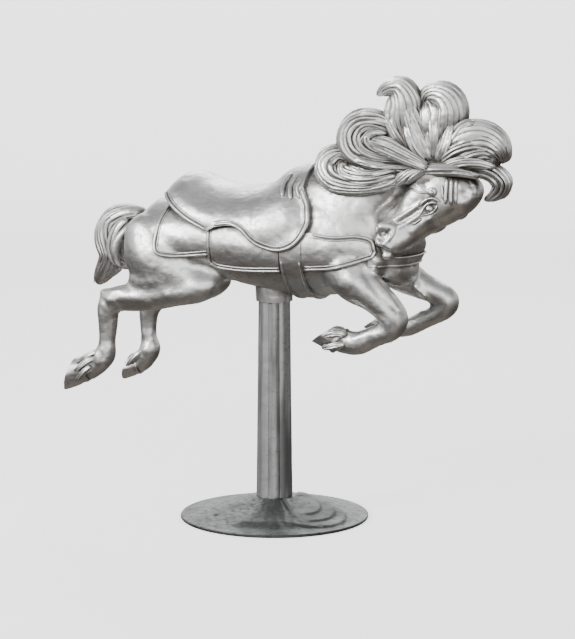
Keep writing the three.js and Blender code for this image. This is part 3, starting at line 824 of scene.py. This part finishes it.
# %% Outlines seen from the side, and the cutters


def curve(corners, count):
    return [tuple(p) for p in along(np.array(corners, float), np.linspace(0, 1, count + 1))]


SADDLE_EDGE = curve([(-296, 902), (-250, 866), (-190, 830), (-128, 804)], 14) + curve(
    [(-104, 818), (-62, 824), (-24, 812), (20, 776), (87, 761), (140, 782), (166, 830), (162, 880),
     (136, 930)], 56)
REAR_EDGE = curve([(-258, 884), (-276, 852), (-285, 812), (-288, 766), (-277, 736), (-244, 728),
                   (-200, 729), (-126, 738)], 28)
MIDDLE_EDGE = [(-128, 812)] + curve([(-126, 716), (-100, 702), (-20, 698), (88, 704)], 20)
FRONT_EDGE = curve([(152, 711), (236, 718), (304, 738), (345, 752)], 14) + curve(
    [(352, 768), (340, 800), (300, 812), (240, 808), (180, 814)], 20)
GIRTH_EDGE = [(90, 800), (90, 560), (152, 560), (152, 800)]
STRAP_EDGE = [(330, 730), (505, 724), (505, 750), (330, 760)]


CUT_REACH = 220


def prism(outline):
    """The outline carried through the horse, as an object that cuts."""
    bm = bmesh.new()
    ring = [bm.verts.new((x * MM, -CUT_REACH * MM, z * MM)) for x, z in outline]
    face = bm.faces.new(ring)
    grown = bmesh.ops.extrude_face_region(bm, geom=[face])["geom"]
    moved = [g for g in grown if isinstance(g, bmesh.types.BMVert)]
    bmesh.ops.translate(bm, verts=moved, vec=(0, 2 * CUT_REACH * MM, 0))
    bmesh.ops.recalc_face_normals(bm, faces=bm.faces[:])
    return as_object(bm, "cutter")


def grown_copy(made, proud):
    copy = made.copy()
    copy.data = made.data.copy()
    bpy.context.scene.collection.objects.link(copy)
    put_points(copy, points_of(copy) + normals_of(copy) * proud * MM)
    return copy


def cloth(made, outline, proud):
    return boolean(grown_copy(made, proud), prism(outline), "INTERSECT")


CLOTHS = [
    cloth(body, REAR_EDGE + [(-126, 884)], 6),
    cloth(body, [(-128, 842)] + MIDDLE_EDGE[1:] + [(88, 842)], 9),
    cloth(body, [(152, 814)] + FRONT_EDGE, 6),
    cloth(body, GIRTH_EDGE, 8),
    cloth(body, STRAP_EDGE, 4),
]
rear_cloth, middle_cloth, front_cloth, girth, breast_strap = CLOTHS
saddle = cloth(seat, SADDLE_EDGE + [(136, 1060), (-296, 1060)], SADDLE_PROUD)
tack = CLOTHS + [saddle]
print("tack", len(tack), "pieces,", sum(len(made.data.polygons) for made in tack), "faces")

# %% [markdown]
# ## Beads along the edges
# Leather tack has a piped edge, and the carver cut it as two rolls, a thick one at the edge and a
# thin one inside it. They are drawn in from each outline and laid on the cloth. Where a strap goes
# round the barrel or the chest, the rays come from all round it instead of from the side.

# %% Lay beads on a surface


def drawn_in(path, inset):
    """The path moved to its left, seen from the right flank."""
    path = np.asarray(path, float)
    ahead = np.gradient(path, axis=0)
    ahead /= np.linalg.norm(ahead, axis=1, keepdims=True)
    return path + np.stack([-ahead[:, 1], ahead[:, 0]], 1) * inset


def edge_beads(made, edge, insets=(4, 12), sizes=(4.2, 2.3)):
    """Two rolls inside an edge, on each flank that shows it, by their insets and radii."""
    surface = surface_of(made)
    rolls = []
    for side in (-1, 1):
        for inset, radius in zip(insets, sizes):
            path = laid(surface, drawn_in(evenly(edge, 7), inset), side)
            if len(path) > 4:
                rolls.append(bead(path, radius, 0.8))
    return rolls


def round_roll(made, centre, ways, radius):
    """A roll where rays back towards a centre, from the given ways round it, meet the surface."""
    surface = surface_of(made)
    path = []
    for way in ways:
        hit = surface.ray_cast(Vector(centre) * MM + way * RAY_START, -way)[0]
        path.append(tuple(c / MM for c in hit))
    return bead(path, radius, 1.0)


UNDER_BARREL = [Vector((0, math.sin(turn), -math.cos(turn))) for turn in np.radians(np.arange(-82, 83, 3))]
ROUND_CHEST = [Vector((math.cos(turn), math.sin(turn), 0)) for turn in np.radians(np.arange(-66, 67, 3))]
POMMEL_ROLLS = [([(86, 962), (76, 934), (84, 904)], 7), ([(106, 956), (98, 930), (110, 896)], 7),
                ([(126, 950), (120, 928), (132, 900)], 5)]
beads = []
for edge in (SADDLE_EDGE[:15], SADDLE_EDGE[15:]):
    beads += edge_beads(saddle, edge, (4.5, 14), (5, 2.6))
for made, edge in ((rear_cloth, REAR_EDGE), (middle_cloth, MIDDLE_EDGE[:2]), (front_cloth, FRONT_EDGE),
                   (middle_cloth, MIDDLE_EDGE[1:])):
    beads += edge_beads(made, edge)
beads += [round_roll(girth, (x, 0, 760), UNDER_BARREL, 3.4) for x in (95, 147)]
beads += [round_roll(breast_strap, (300, 0, z), ROUND_CHEST, 2.6) for z in (730, 753)]
saddle_surface = surface_of(saddle)
for side in (-1, 1):
    for roll, radius in POMMEL_ROLLS:
        beads.append(bead(laid(saddle_surface, along(roll, np.linspace(0, 1, 10)), side), radius))
print("beads", len(beads))

# %% [markdown]
# ## One casting
# All of it was poured at once, so all shells become one closed skin by a union. One Boolean with a
# whole collection is much quicker than one for each shell. The boss under the belly is part of the
# same casting and stands on the column. The seat's skin was only a pattern, so it is thrown away.

# %% Join everything into one skin
BOSS_RADIUS, BOSS_TOP_RADIUS, BOSS_HEIGHT = 50, 53, 60
boss = bmesh.new()
bmesh.ops.create_cone(boss, cap_ends=True, segments=64, radius1=BOSS_RADIUS * MM,
                      radius2=BOSS_TOP_RADIUS * MM, depth=BOSS_HEIGHT * MM)
boss_middle = COLUMN_TOP + CASTING_GAP + BOSS_HEIGHT / 2
bmesh.ops.translate(boss, verts=boss.verts[:], vec=(0, 0, boss_middle * MM))
group = bpy.data.collections.new("shells")
for shell in hooves + hair + beads + details + [boss]:
    piece = as_object(shell, "shell")
    bpy.context.scene.collection.objects.unlink(piece)
    group.objects.link(piece)
for piece in tack + [head]:
    bpy.context.scene.collection.objects.unlink(piece)
    group.objects.link(piece)
union = body.modifiers.new("one casting", "BOOLEAN")
union.operand_type, union.collection = "COLLECTION", group
union.operation, union.solver = "UNION", "MANIFOLD"
applied(body)
for piece in list(group.objects) + [seat]:
    mesh = piece.data
    bpy.data.objects.remove(piece)
    bpy.data.meshes.remove(mesh)
bpy.data.collections.remove(group)
print("one casting:", len(body.data.polygons), "faces")

# %% [markdown]
# ## A clean skin of triangles
# Where forms close in a hollow between them, the union leaves a skin inside that nobody can see. A
# casting has no loose skins, so only the largest connected set of faces is kept. Faces are shaded
# smooth, and edges past an angle stay sharp. The count is printed, because one piece may have at
# most 200,000 triangles.

# %% Drop inner walls, and count triangles


def shells_of(bm):
    """The connected sets of faces."""
    bm.faces.index_update()
    seen, sets = set(), []
    for start in bm.faces:
        if start.index in seen:
            continue
        seen.add(start.index)
        stack, found = [start], []
        while stack:
            face = stack.pop()
            found.append(face)
            for edge in face.edges:
                for other in edge.link_faces:
                    if other.index not in seen:
                        seen.add(other.index)
                        stack.append(other)
        sets.append(found)
    return sets


def finished(made, sharp):
    """One closed skin of triangles, smooth but for edges sharper than an angle in degrees."""
    bm = bmesh.new()
    bm.from_mesh(made.data)
    bmesh.ops.triangulate(bm, faces=bm.faces[:])
    sets = sorted(shells_of(bm), key=len, reverse=True)
    inner = [face for found in sets[1:] for face in found]
    bmesh.ops.delete(bm, geom=inner, context="FACES")
    print(made.name, len(bm.faces), "triangles,", len(sets) - 1, "inner walls dropped,",
          sum(1 for e in bm.edges if len(e.link_faces) < 2), "open edges")
    bm.to_mesh(made.data)
    bm.free()
    made.data.polygons.foreach_set("use_smooth", [True] * len(made.data.polygons))
    made.data.set_sharp_from_angle(angle=math.radians(sharp))
    return made


horse = finished(body, sharp=42)

# %% [markdown]
# ## Grime and painted shade in the hollows
# Polishing only reaches the high places, so the grooves of hair, the seams of the tack and the folds
# keep a grey skin of grime, and the same darkening also paints in the shade that falls in them. How
# hollow each place is can be measured once, as the share of short rays from it that the casting
# itself stops, and kept as an attribute that the material reads.

# %% Measure the hollows
HOLLOW_REACH, CLEAR_OF_SKIN = 0.024, 0.0004
RAYS, LOWEST_RAY, RAY_SPAN = 14, 0.25, 0.7
GOLDEN_TURN = math.pi * (3 - math.sqrt(5))


def ray_fan():
    """Directions spread evenly over the upper half of a ball, with up as (0, 0, 1)."""
    fan = []
    for k in range(RAYS):
        up = LOWEST_RAY + RAY_SPAN * (k + 0.5) / RAYS
        level = math.sqrt(1 - up * up)
        fan.append((level * math.cos(GOLDEN_TURN * k), level * math.sin(GOLDEN_TURN * k), up))
    return fan


def measure_hollows(made):
    """The share of short rays from each place that the casting itself stops."""
    surface, points, normals = surface_of(made), points_of(made), normals_of(made)
    share = np.zeros(len(points), np.float32)
    fan = ray_fan()
    for i, (p, n) in enumerate(zip(points, normals)):
        normal = Vector(n)
        first = normal.orthogonal().normalized()
        second = normal.cross(first)
        start = Vector(p) + normal * CLEAR_OF_SKIN
        stopped = 0
        for a, b, c in fan:
            if surface.ray_cast(start, first * a + second * b + normal * c, HOLLOW_REACH)[0] is not None:
                stopped += 1
        share[i] = stopped / RAYS
    kept = made.data.attributes.new("hollow", "FLOAT", "POINT")
    kept.data.foreach_set("value", share)
    print(made.name, "hollow", np.percentile(share, [5, 50, 95]).round(2))


measure_hollows(horse)

# %% [markdown]
# ## The column
# The column is one casting with eight rounded ribs and a sharp flute between each two. It tapers a
# little and is slightly uneven, as poured. A plain cylinder is cut into rows by the operator, and
# each row is moved onto the ribs' outline, so that the taper and the unevenness take one formula.

# %% Build the column
COLUMN_RIBS, FLUTE_DEPTH, FLUTE_SHARPNESS = 8, 5, 1.15
COLUMN_UNEVEN, COLUMN_SEGMENTS, COLUMN_CUTS = 0.5, 192, 60


def fluted_column():
    bottom = FOOT_HEIGHT + CASTING_GAP
    bm = bmesh.new()
    bmesh.ops.create_cone(bm, cap_ends=True, segments=COLUMN_SEGMENTS, radius1=1, radius2=1, depth=1)
    upright = [e for e in bm.edges if abs(e.verts[0].co.z - e.verts[1].co.z) > 0.5]
    bmesh.ops.subdivide_edges(bm, edges=upright, cuts=COLUMN_CUTS, use_grid_fill=True)
    for v in bm.verts:
        share = v.co.z + 0.5
        angle = math.atan2(v.co.y, v.co.x)
        crest = abs(math.sin(angle * COLUMN_RIBS / 2))
        narrow = 1 + (COLUMN_TOP_RADIUS / COLUMN_FOOT_RADIUS - 1) * share
        radius = (COLUMN_FOOT_RADIUS - FLUTE_DEPTH * (1 - crest) ** FLUTE_SHARPNESS) * narrow
        radius += COLUMN_UNEVEN * noise.noise(Vector((v.co.x * 2, v.co.y * 2, share * 9)))
        radius = min(radius, COLUMN_FOOT_RADIUS * narrow)
        height = bottom + (COLUMN_TOP - bottom) * share
        v.co = Vector((math.cos(angle) * radius, math.sin(angle) * radius, height)) * MM
    return finished(as_object(bm, "column_casting"), sharp=40)


column = fluted_column()

# %% [markdown]
# ## The foot
# The foot is a low dome with a thin edge. Crescent ledges overlap on its front right, a rounded
# fan swells out under the column, and the casting shows a few pits. A profile is spun into the
# dome, and its skin is lifted where the ledges and the fan lie. Each ledge or pit is a bearing, a
# distance from the middle, a reach, and a height or depth.

# %% Build the foot
RIM_WIDTH, RIM_EASE, CROWN_EASE = 10, 12, 6
DOME_POWER, DOME_ROWS, DOME_STEPS = 1.25, 64, 240
FOOT_LEDGES = [(-0.5, 80, 80, 5), (-0.42, 104, 98, 5.5), (-0.38, 126, 110, 5)]
LEDGE_SOFTNESS, LEDGE_LENGTH, LEDGE_START, LEDGE_LEAN = 9, 46, 60, 0.6
FAN_BEARING, FAN_HALF, FAN_REACH, FAN_LIFT = -1.13, 0.52, 205, 7
FAN_SIDE, FAN_TOE, FAN_RIBS = 0.2, 40, 0.25
PITS = [(-2.45, 208, 6, 3), (-2.2, 186, 7, 3), (-2.05, 172, 5, 2), (-0.55, 226, 6, 3)]
UNEVEN = ((1.1, 0, 0.03), (0.7, 9, 0.09))


def dome_height(radius):
    share = min(max((FOOT_RADIUS - radius) / (FOOT_RADIUS - CROWN_RADIUS), 0), 1)
    return FOOT_EDGE + (FOOT_HEIGHT - FOOT_EDGE) * share**DOME_POWER


def eased_step(value):
    value = min(max(value, 0), 1)
    return value * value * (3 - 2 * value)


def foot_relief(x, y):
    """How far the ledges, the fan and the pits lift the dome at a place, in millimetres."""
    radius, lift = math.hypot(x, y), 0.0
    if radius < CROWN_RADIUS + 1 or radius > FOOT_RADIUS - RIM_WIDTH:
        return 0.0
    for bearing, distance, reach, height in FOOT_LEDGES:
        inside = reach - math.hypot(x - math.cos(bearing) * distance, y - math.sin(bearing) * distance)
        fade = math.exp(-((max(inside, 0) / LEDGE_LENGTH) ** 2))
        in_front = eased_step((x - LEDGE_LEAN * y) / LEDGE_START)
        lift += height * eased_step(inside / LEDGE_SOFTNESS + 0.5) * fade * in_front
    away = abs(math.remainder(math.atan2(y, x) - FAN_BEARING, 2 * math.pi))
    fan = eased_step((FAN_HALF - away) / FAN_SIDE + 0.5) * eased_step((FAN_REACH - radius) / FAN_TOE + 0.5)
    ribs = 1 + FAN_RIBS * noise.noise(Vector((away * 14, radius * 0.01, 3)))
    lift = lift * (1 - fan) + FAN_LIFT * fan * ribs
    for bearing, distance, reach, depth in PITS:
        away = math.hypot(x - math.cos(bearing) * distance, y - math.sin(bearing) * distance)
        lift -= depth * math.exp(-((away / reach) ** 2))
    edge = min((FOOT_RADIUS - RIM_WIDTH - radius) / RIM_EASE, (radius - CROWN_RADIUS - 1) / CROWN_EASE, 1)
    uneven = sum(height * noise.noise(Vector((x, y, level)) * pitch) for height, level, pitch in UNEVEN)
    return (lift + uneven) * edge


def domed_foot():
    bm = bmesh.new()
    profile = [(0, 0), (FOOT_RADIUS - 2, 0), (FOOT_RADIUS, 2), (FOOT_RADIUS, FOOT_EDGE - 2)]
    radii = np.linspace(FOOT_RADIUS - 2, CROWN_RADIUS, DOME_ROWS)
    profile += [(r, dome_height(r)) for r in radii] + [(CROWN_RADIUS - 6, FOOT_HEIGHT), (0, FOOT_HEIGHT)]
    line = [bm.verts.new((r * MM, 0, z * MM)) for r, z in profile]
    rim = [bm.edges.new(pair) for pair in zip(line[:-1], line[1:])]
    bmesh.ops.spin(bm, geom=line + rim, cent=(0, 0, 0), axis=(0, 0, 1), angle=2 * math.pi,
                   steps=DOME_STEPS, use_merge=True)
    bmesh.ops.remove_doubles(bm, verts=bm.verts[:], dist=MM / 1000)
    bmesh.ops.recalc_face_normals(bm, faces=bm.faces[:])
    for v in bm.verts:
        if v.co.z > (FOOT_EDGE + 0.5) * MM:
            v.co.z += foot_relief(v.co.x / MM, v.co.y / MM) * MM
    return finished(as_object(bm, "foot_casting"), sharp=30)


foot = domed_foot()
# their flutes and ledges too get grime and painted shade from the hollow measure
for made in (column, foot):
    measure_hollows(made)

# %% [markdown]
# ## Short names for nodes
# A material is a net of nodes, and building one takes the same few calls again and again: add a
# node, set a number, link two sockets. Each helper adds one kind of node and hands back the socket
# that carries its result, so that the nets below read like sums.

# %% Helpers that add one node each


def new_socket(tree, name, kind, way, value=None):
    socket = tree.interface.new_socket(name=name, in_out=way, socket_type=kind)
    if value is not None:
        socket.default_value = value
    return socket


def node_of(tree, kind, **settings):
    made = tree.nodes.new(kind)
    for name, value in settings.items():
        setattr(made, name, value)
    return made


def math_node(tree, operation, first, second):
    made = node_of(tree, "ShaderNodeMath", operation=operation)
    for socket, value in zip(made.inputs, (first, second)):
        if isinstance(value, (int, float)):
            socket.default_value = value
        else:
            tree.links.new(value, socket)
    return made.outputs[0]


def noise_node(tree, vector, scale, detail=3.0, stretch=None):
    if stretch:
        mapping = node_of(tree, "ShaderNodeMapping")
        mapping.inputs["Scale"].default_value = stretch
        tree.links.new(vector, mapping.inputs["Vector"])
        vector = mapping.outputs[0]
    made = node_of(tree, "ShaderNodeTexNoise")
    made.inputs["Scale"].default_value = scale
    made.inputs["Detail"].default_value = detail
    tree.links.new(vector, made.inputs["Vector"])
    return made.outputs["Fac"]


def ranged(tree, value, low, high, out_low=0.0, out_high=1.0):
    made = node_of(tree, "ShaderNodeMapRange", interpolation_type="SMOOTHSTEP")
    for name, number in (("From Min", low), ("From Max", high), ("To Min", out_low), ("To Max", out_high)):
        made.inputs[name].default_value = number
    tree.links.new(value, made.inputs["Value"])
    return made.outputs["Result"]


def mixed(tree, share, first, second):
    made = node_of(tree, "ShaderNodeMix", data_type="RGBA")
    for socket, value in ((made.inputs[0], share), (made.inputs[6], first), (made.inputs[7], second)):
        if isinstance(value, (tuple, float)):
            socket.default_value = value
        else:
            tree.links.new(value, socket)
    return made.outputs[2]


# %% [markdown]
# ## Cast aluminium
# All three castings are aluminium. What they share is made once, as a node group: slow changes of
# grey and small stains, streaks where water ran down, ripples and grain left by the sand mould,
# fine scratches, and grime with painted shade where the metal is hollow. It could be painted, but
# patterns on object coordinates fit every piece, and each material then only sets its own strengths.

# %% The shared effect of cast metal


def cast_metal_group():
    tree = bpy.data.node_groups.new("cast metal", "ShaderNodeTree")
    for name, kind, value in (
            ("Bright", "NodeSocketColor", (0.8, 0.8, 0.8, 1)),
            ("Dull", "NodeSocketColor", (0.5, 0.5, 0.5, 1)),
            ("Grime And Shade", "NodeSocketColor", (0.05, 0.05, 0.05, 1)), ("Hollow", "NodeSocketFloat", 0.5),
            ("Hollow Shade Amount", "NodeSocketFloat", 1.0), ("Smooth", "NodeSocketFloat", 0.25),
            ("Rough", "NodeSocketFloat", 0.45), ("Streaks", "NodeSocketFloat", 0.0)):
        new_socket(tree, name, kind, "INPUT", value)
    for name, kind in (("Color", "NodeSocketColor"), ("Roughness", "NodeSocketFloat"),
                       ("Height", "NodeSocketFloat")):
        new_socket(tree, name, kind, "OUTPUT")
    into, out = node_of(tree, "NodeGroupInput"), node_of(tree, "NodeGroupOutput")
    place = node_of(tree, "ShaderNodeTexCoord").outputs["Object"]
    # dull patches, stains and streaks
    patches, stains = noise_node(tree, place, 9, 4), noise_node(tree, place, 75, 5)
    streaks = ranged(tree, noise_node(tree, place, 34, 4, (1, 1, 0.06)), 0.5, 0.68)
    streaked = math_node(tree, "MULTIPLY", streaks, into.outputs["Streaks"])
    dulled = math_node(tree, "MAXIMUM", ranged(tree, patches, 0.42, 0.72, 0.0, 0.7), streaked)
    dulled = math_node(tree, "MAXIMUM", dulled, ranged(tree, stains, 0.5, 0.72, 0.0, 0.9))
    # grime and painted shade in the hollows, and grime along the streaks
    deep = ranged(tree, into.outputs["Hollow"], 0.05, 0.5)
    grime_and_shade = math_node(tree, "MULTIPLY", deep, into.outputs["Hollow Shade Amount"])
    grime_and_shade = math_node(tree, "MAXIMUM", grime_and_shade, math_node(tree, "MULTIPLY", streaked, 0.55))
    metal = mixed(tree, dulled, into.outputs["Bright"], into.outputs["Dull"])
    # the hollows take the grime colour, which is partly real grime and partly painted shade
    tree.links.new(mixed(tree, grime_and_shade, metal, into.outputs["Grime And Shade"]), out.inputs["Color"])
    # roughness
    scratches = noise_node(tree, place, 30, 2, (1, 1, 14))
    spread = math_node(tree, "SUBTRACT", into.outputs["Rough"], into.outputs["Smooth"])
    worn = math_node(tree, "MULTIPLY", spread, math_node(tree, "MAXIMUM", dulled, grime_and_shade))
    fine = math_node(tree, "MULTIPLY", ranged(tree, scratches, 0.45, 0.6), 0.05)
    base = math_node(tree, "ADD", into.outputs["Smooth"], worn)
    tree.links.new(math_node(tree, "ADD", base, fine), out.inputs["Roughness"])
    # height: slow swells, ripples, sand grain and scratches
    height = math_node(tree, "MULTIPLY", noise_node(tree, place, 17, 2), 3.6)
    for pattern, share in ((noise_node(tree, place, 42, 2), 0.9), (noise_node(tree, place, 420, 3), 0.12),
                           (scratches, 0.06)):
        height = math_node(tree, "ADD", height, math_node(tree, "MULTIPLY", pattern, share))
    tree.links.new(height, out.inputs["Height"])
    return tree


CAST = cast_metal_group()
print("cast metal", len(CAST.nodes), "nodes")

# %% [markdown]
# ## Three finishes
# The horse is polished bright, and only its hollows, darkened by grime and painted shade, and its
# stains stay grey. The column and the foot are left nearly as cast, and the foot is the darkest of the
# three. The same group gives them all, with other colours and strengths. Each casting then rides on
# the one body, takes the place of its node, and gets its metal as its one material.

# %% The three finishes
BUMP_STRENGTH = 0.5


def cast_aluminium(name, bright, dull, grime_and_shade_colour, strengths, ripple):
    """A metal of these greys. `ripple` is the height of its relief in metres."""
    material = bpy.data.materials.new(name)
    material.use_nodes = True
    tree = material.node_tree
    shader = tree.nodes["Principled BSDF"]
    shader.inputs["Metallic"].default_value = 1.0
    effect = node_of(tree, "ShaderNodeGroup", node_tree=CAST)
    for key, value in (("Bright", bright), ("Dull", dull), ("Grime And Shade", grime_and_shade_colour)):
        effect.inputs[key].default_value = (*value, 1)
    for key, value in strengths.items():
        effect.inputs[key].default_value = value
    hollow = node_of(tree, "ShaderNodeAttribute", attribute_name="hollow")
    tree.links.new(hollow.outputs["Fac"], effect.inputs["Hollow"])
    tree.links.new(effect.outputs["Color"], shader.inputs["Base Color"])
    tree.links.new(effect.outputs["Roughness"], shader.inputs["Roughness"])
    bump = node_of(tree, "ShaderNodeBump")
    bump.inputs["Strength"].default_value = BUMP_STRENGTH
    bump.inputs["Distance"].default_value = ripple
    tree.links.new(effect.outputs["Height"], bump.inputs["Height"])
    tree.links.new(bump.outputs["Normal"], shader.inputs["Normal"])
    return material


# the third grey of each metal is the grime colour, which also paints the shade in its hollows
POLISHED = cast_aluminium(
    "polished aluminium", (0.84, 0.84, 0.83), (0.60, 0.60, 0.59), (0.23, 0.22, 0.205),
    {"Hollow Shade Amount": 1.0, "Smooth": 0.36, "Rough": 0.5, "Streaks": 0.0}, 0.0024)
GREY = cast_aluminium(
    "grey aluminium", (0.58, 0.59, 0.59), (0.42, 0.43, 0.43), (0.06, 0.065, 0.065),
    {"Hollow Shade Amount": 0.7, "Smooth": 0.46, "Rough": 0.62, "Streaks": 1.0}, 0.001)
FOOT_METAL = cast_aluminium(
    "foot aluminium", (0.15, 0.155, 0.155), (0.10, 0.105, 0.105), (0.035, 0.035, 0.03),
    {"Hollow Shade Amount": 0.7, "Smooth": 0.42, "Rough": 0.6, "Streaks": 0.0}, 0.0015)

for made, metal, node_name, slot in (
        (horse, POLISHED, "horse", "polished_aluminium"), (column, GREY, "column", "grey_aluminium"),
        (foot, FOOT_METAL, "foot", "foot_aluminium")):
    made.data.materials.clear()
    made.data.materials.append(metal)
    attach(made, "root")
    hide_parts(node_name)
    print(made.name, "replaces", node_name, "in", metal.name)

# %% [markdown]
# ## The floor
# A pale paper floor that curves up all round gives a plain ground from every side. It is one disc
# with a raised rim, and a bevel rounds the corner between them. It glows a little, as lit paper
# does, and it is kept out of the reflections, because the metal shows the room instead.

# %% Floor and backdrop
SWEEP_RADIUS, SWEEP_HEIGHT, SWEEP_BEND = 12, 7, 3


def sweep():
    bm = bmesh.new()
    bmesh.ops.create_circle(bm, cap_ends=True, segments=96, radius=SWEEP_RADIUS)
    rim = [e for e in bm.edges if e.is_boundary]
    raised = bmesh.ops.extrude_edge_only(bm, edges=rim)["geom"]
    top = [g for g in raised if isinstance(g, bmesh.types.BMVert)]
    bmesh.ops.translate(bm, verts=top, vec=(0, 0, SWEEP_HEIGHT))
    bmesh.ops.bevel(bm, geom=rim, offset=SWEEP_BEND, affect="EDGES", segments=16, profile=0.5, material=-1)
    bmesh.ops.recalc_face_normals(bm, faces=bm.faces[:])
    return as_object(bm, "sweep")


backdrop = sweep()
backdrop.data.polygons.foreach_set("use_smooth", [True] * len(backdrop.data.polygons))
PAPER = bpy.data.materials.new("paper")
PAPER.use_nodes = True
for name, value in (("Base Color", (0.86, 0.86, 0.86, 1)), ("Roughness", 0.9),
                    ("Emission Color", (1, 1, 1, 1)), ("Emission Strength", 1.3)):
    PAPER.node_tree.nodes["Principled BSDF"].inputs[name].default_value = value
backdrop.data.materials.append(PAPER)
backdrop.visible_glossy = False
print("sweep", len(backdrop.data.polygons), "faces")

# %% [markdown]
# ## The room and its lamps
# Polished metal shows the room more than itself. A studio would surround the horse with big sheets
# of cloth. Here two ramps do the same: the room is bright at eye height, greyer overhead and dark
# brown below, and bright in front and behind but grey at both sides. So the flanks shine, the
# belly goes dark, and the forms turn grey at their edges. Three soft lamps add the shadows.

# %% Room light
UPRIGHT_STOPS = [(0.0, (0.07, 0.062, 0.054)), (0.375, (0.08, 0.072, 0.064)), (0.46, (0.16, 0.152, 0.144)),
                 (0.53, (0.7, 0.7, 0.7)), (0.61, (1.0, 1.0, 1.0)), (0.7, (1.0, 1.0, 1.0)),
                 (0.79, (0.42, 0.425, 0.43)), (0.865, (0.24, 0.242, 0.245)), (1.0, (0.18, 0.183, 0.186))]
ACROSS_STOPS = [(0.0, (0.24, 0.237, 0.233)), (0.28, (0.42, 0.416, 0.41)), (0.42, (1.0, 1.0, 1.0)),
                (0.57, (1.0, 1.0, 1.0)), (0.7, (0.42, 0.42, 0.42)), (0.82, (0.3, 0.3, 0.3)),
                (1.0, (0.3, 0.3, 0.3))]
ROOM_LEFT, ROOM_BRIGHTNESS = (-0.906, -0.423, 0), 3.0


def ramp_node(tree, share, stops):
    made = node_of(tree, "ShaderNodeValToRGB")
    tree.links.new(share, made.inputs[0])
    elements = made.color_ramp.elements
    elements[0].position, elements[0].color = stops[0][0], (*stops[0][1], 1)
    elements[1].position, elements[1].color = stops[-1][0], (*stops[-1][1], 1)
    for position, colour in stops[1:-1]:
        elements.new(position).color = (*colour, 1)
    return made.outputs[0]


def part_of(tree, direction, axis):
    """How far a direction points along an axis, from 0 to 1."""
    made = node_of(tree, "ShaderNodeVectorMath", operation="DOT_PRODUCT")
    tree.links.new(direction, made.inputs[0])
    made.inputs[1].default_value = axis
    return math_node(tree, "MULTIPLY", math_node(tree, "ADD", made.outputs["Value"], 1.0), 0.5)


def room():
    world = bpy.data.worlds.new("room")
    bpy.context.scene.world = world
    world.use_nodes = True
    tree = world.node_tree
    direction = node_of(tree, "ShaderNodeTexCoord").outputs["Generated"]
    upright = ramp_node(tree, part_of(tree, direction, (0, 0, 1)), UPRIGHT_STOPS)
    across = ramp_node(tree, part_of(tree, direction, ROOM_LEFT), ACROSS_STOPS)
    light = node_of(tree, "ShaderNodeMix", data_type="RGBA", blend_type="MULTIPLY")
    light.inputs[0].default_value = 1.0
    tree.links.new(upright, light.inputs[6])
    tree.links.new(across, light.inputs[7])
    tree.links.new(light.outputs[2], tree.nodes["Background"].inputs["Color"])
    tree.nodes["Background"].inputs["Strength"].default_value = ROOM_BRIGHTNESS


LAMP_AIM = (0, 0, 0.8)


def softbox(name, place, size, power):
    light = bpy.data.lights.new(name, "AREA")
    light.shape, light.size, light.size_y, light.energy = "RECTANGLE", size[0], size[1], power
    made = bpy.data.objects.new(name, light)
    bpy.context.scene.collection.objects.link(made)
    made.location = place
    made.rotation_euler = (Vector(LAMP_AIM) - Vector(place)).to_track_quat("-Z", "Y").to_euler()


room()
softbox("key", (-2.6, -4.0, 3.0), (2.2, 1.6), 210)
softbox("fill", (3.6, -3.6, 2.0), (1.0, 1.4), 18)
softbox("back", (-1.0, 3.2, 3.4), (3.0, 1.2), 60)
print("lamps", len(bpy.data.lights))

# %% [markdown]
# ## The camera
# The horse is seen from its right flank, a little from the front and from a little above. A long
# lens from well away keeps the near legs from looking larger than the far ones.

# %% Camera
CAMERA_TURN, CAMERA_AWAY, CAMERA_HEIGHT = math.radians(25), 6.5, 1.55
LENS, SENSOR_WIDTH = 135.2, 36
AIM = Vector((0.0326, 0.0152, 0.551))
camera = bpy.data.objects.new("camera", bpy.data.cameras.new("camera"))
bpy.context.scene.collection.objects.link(camera)
camera.data.lens, camera.data.sensor_width = LENS, SENSOR_WIDTH
camera.location = (CAMERA_AWAY * math.sin(CAMERA_TURN), -CAMERA_AWAY * math.cos(CAMERA_TURN), CAMERA_HEIGHT)
camera.rotation_euler = (AIM - camera.location).to_track_quat("-Z", "Y").to_euler()
bpy.context.scene.camera = camera
print("camera", round((AIM - camera.location).length, 2), "m away")
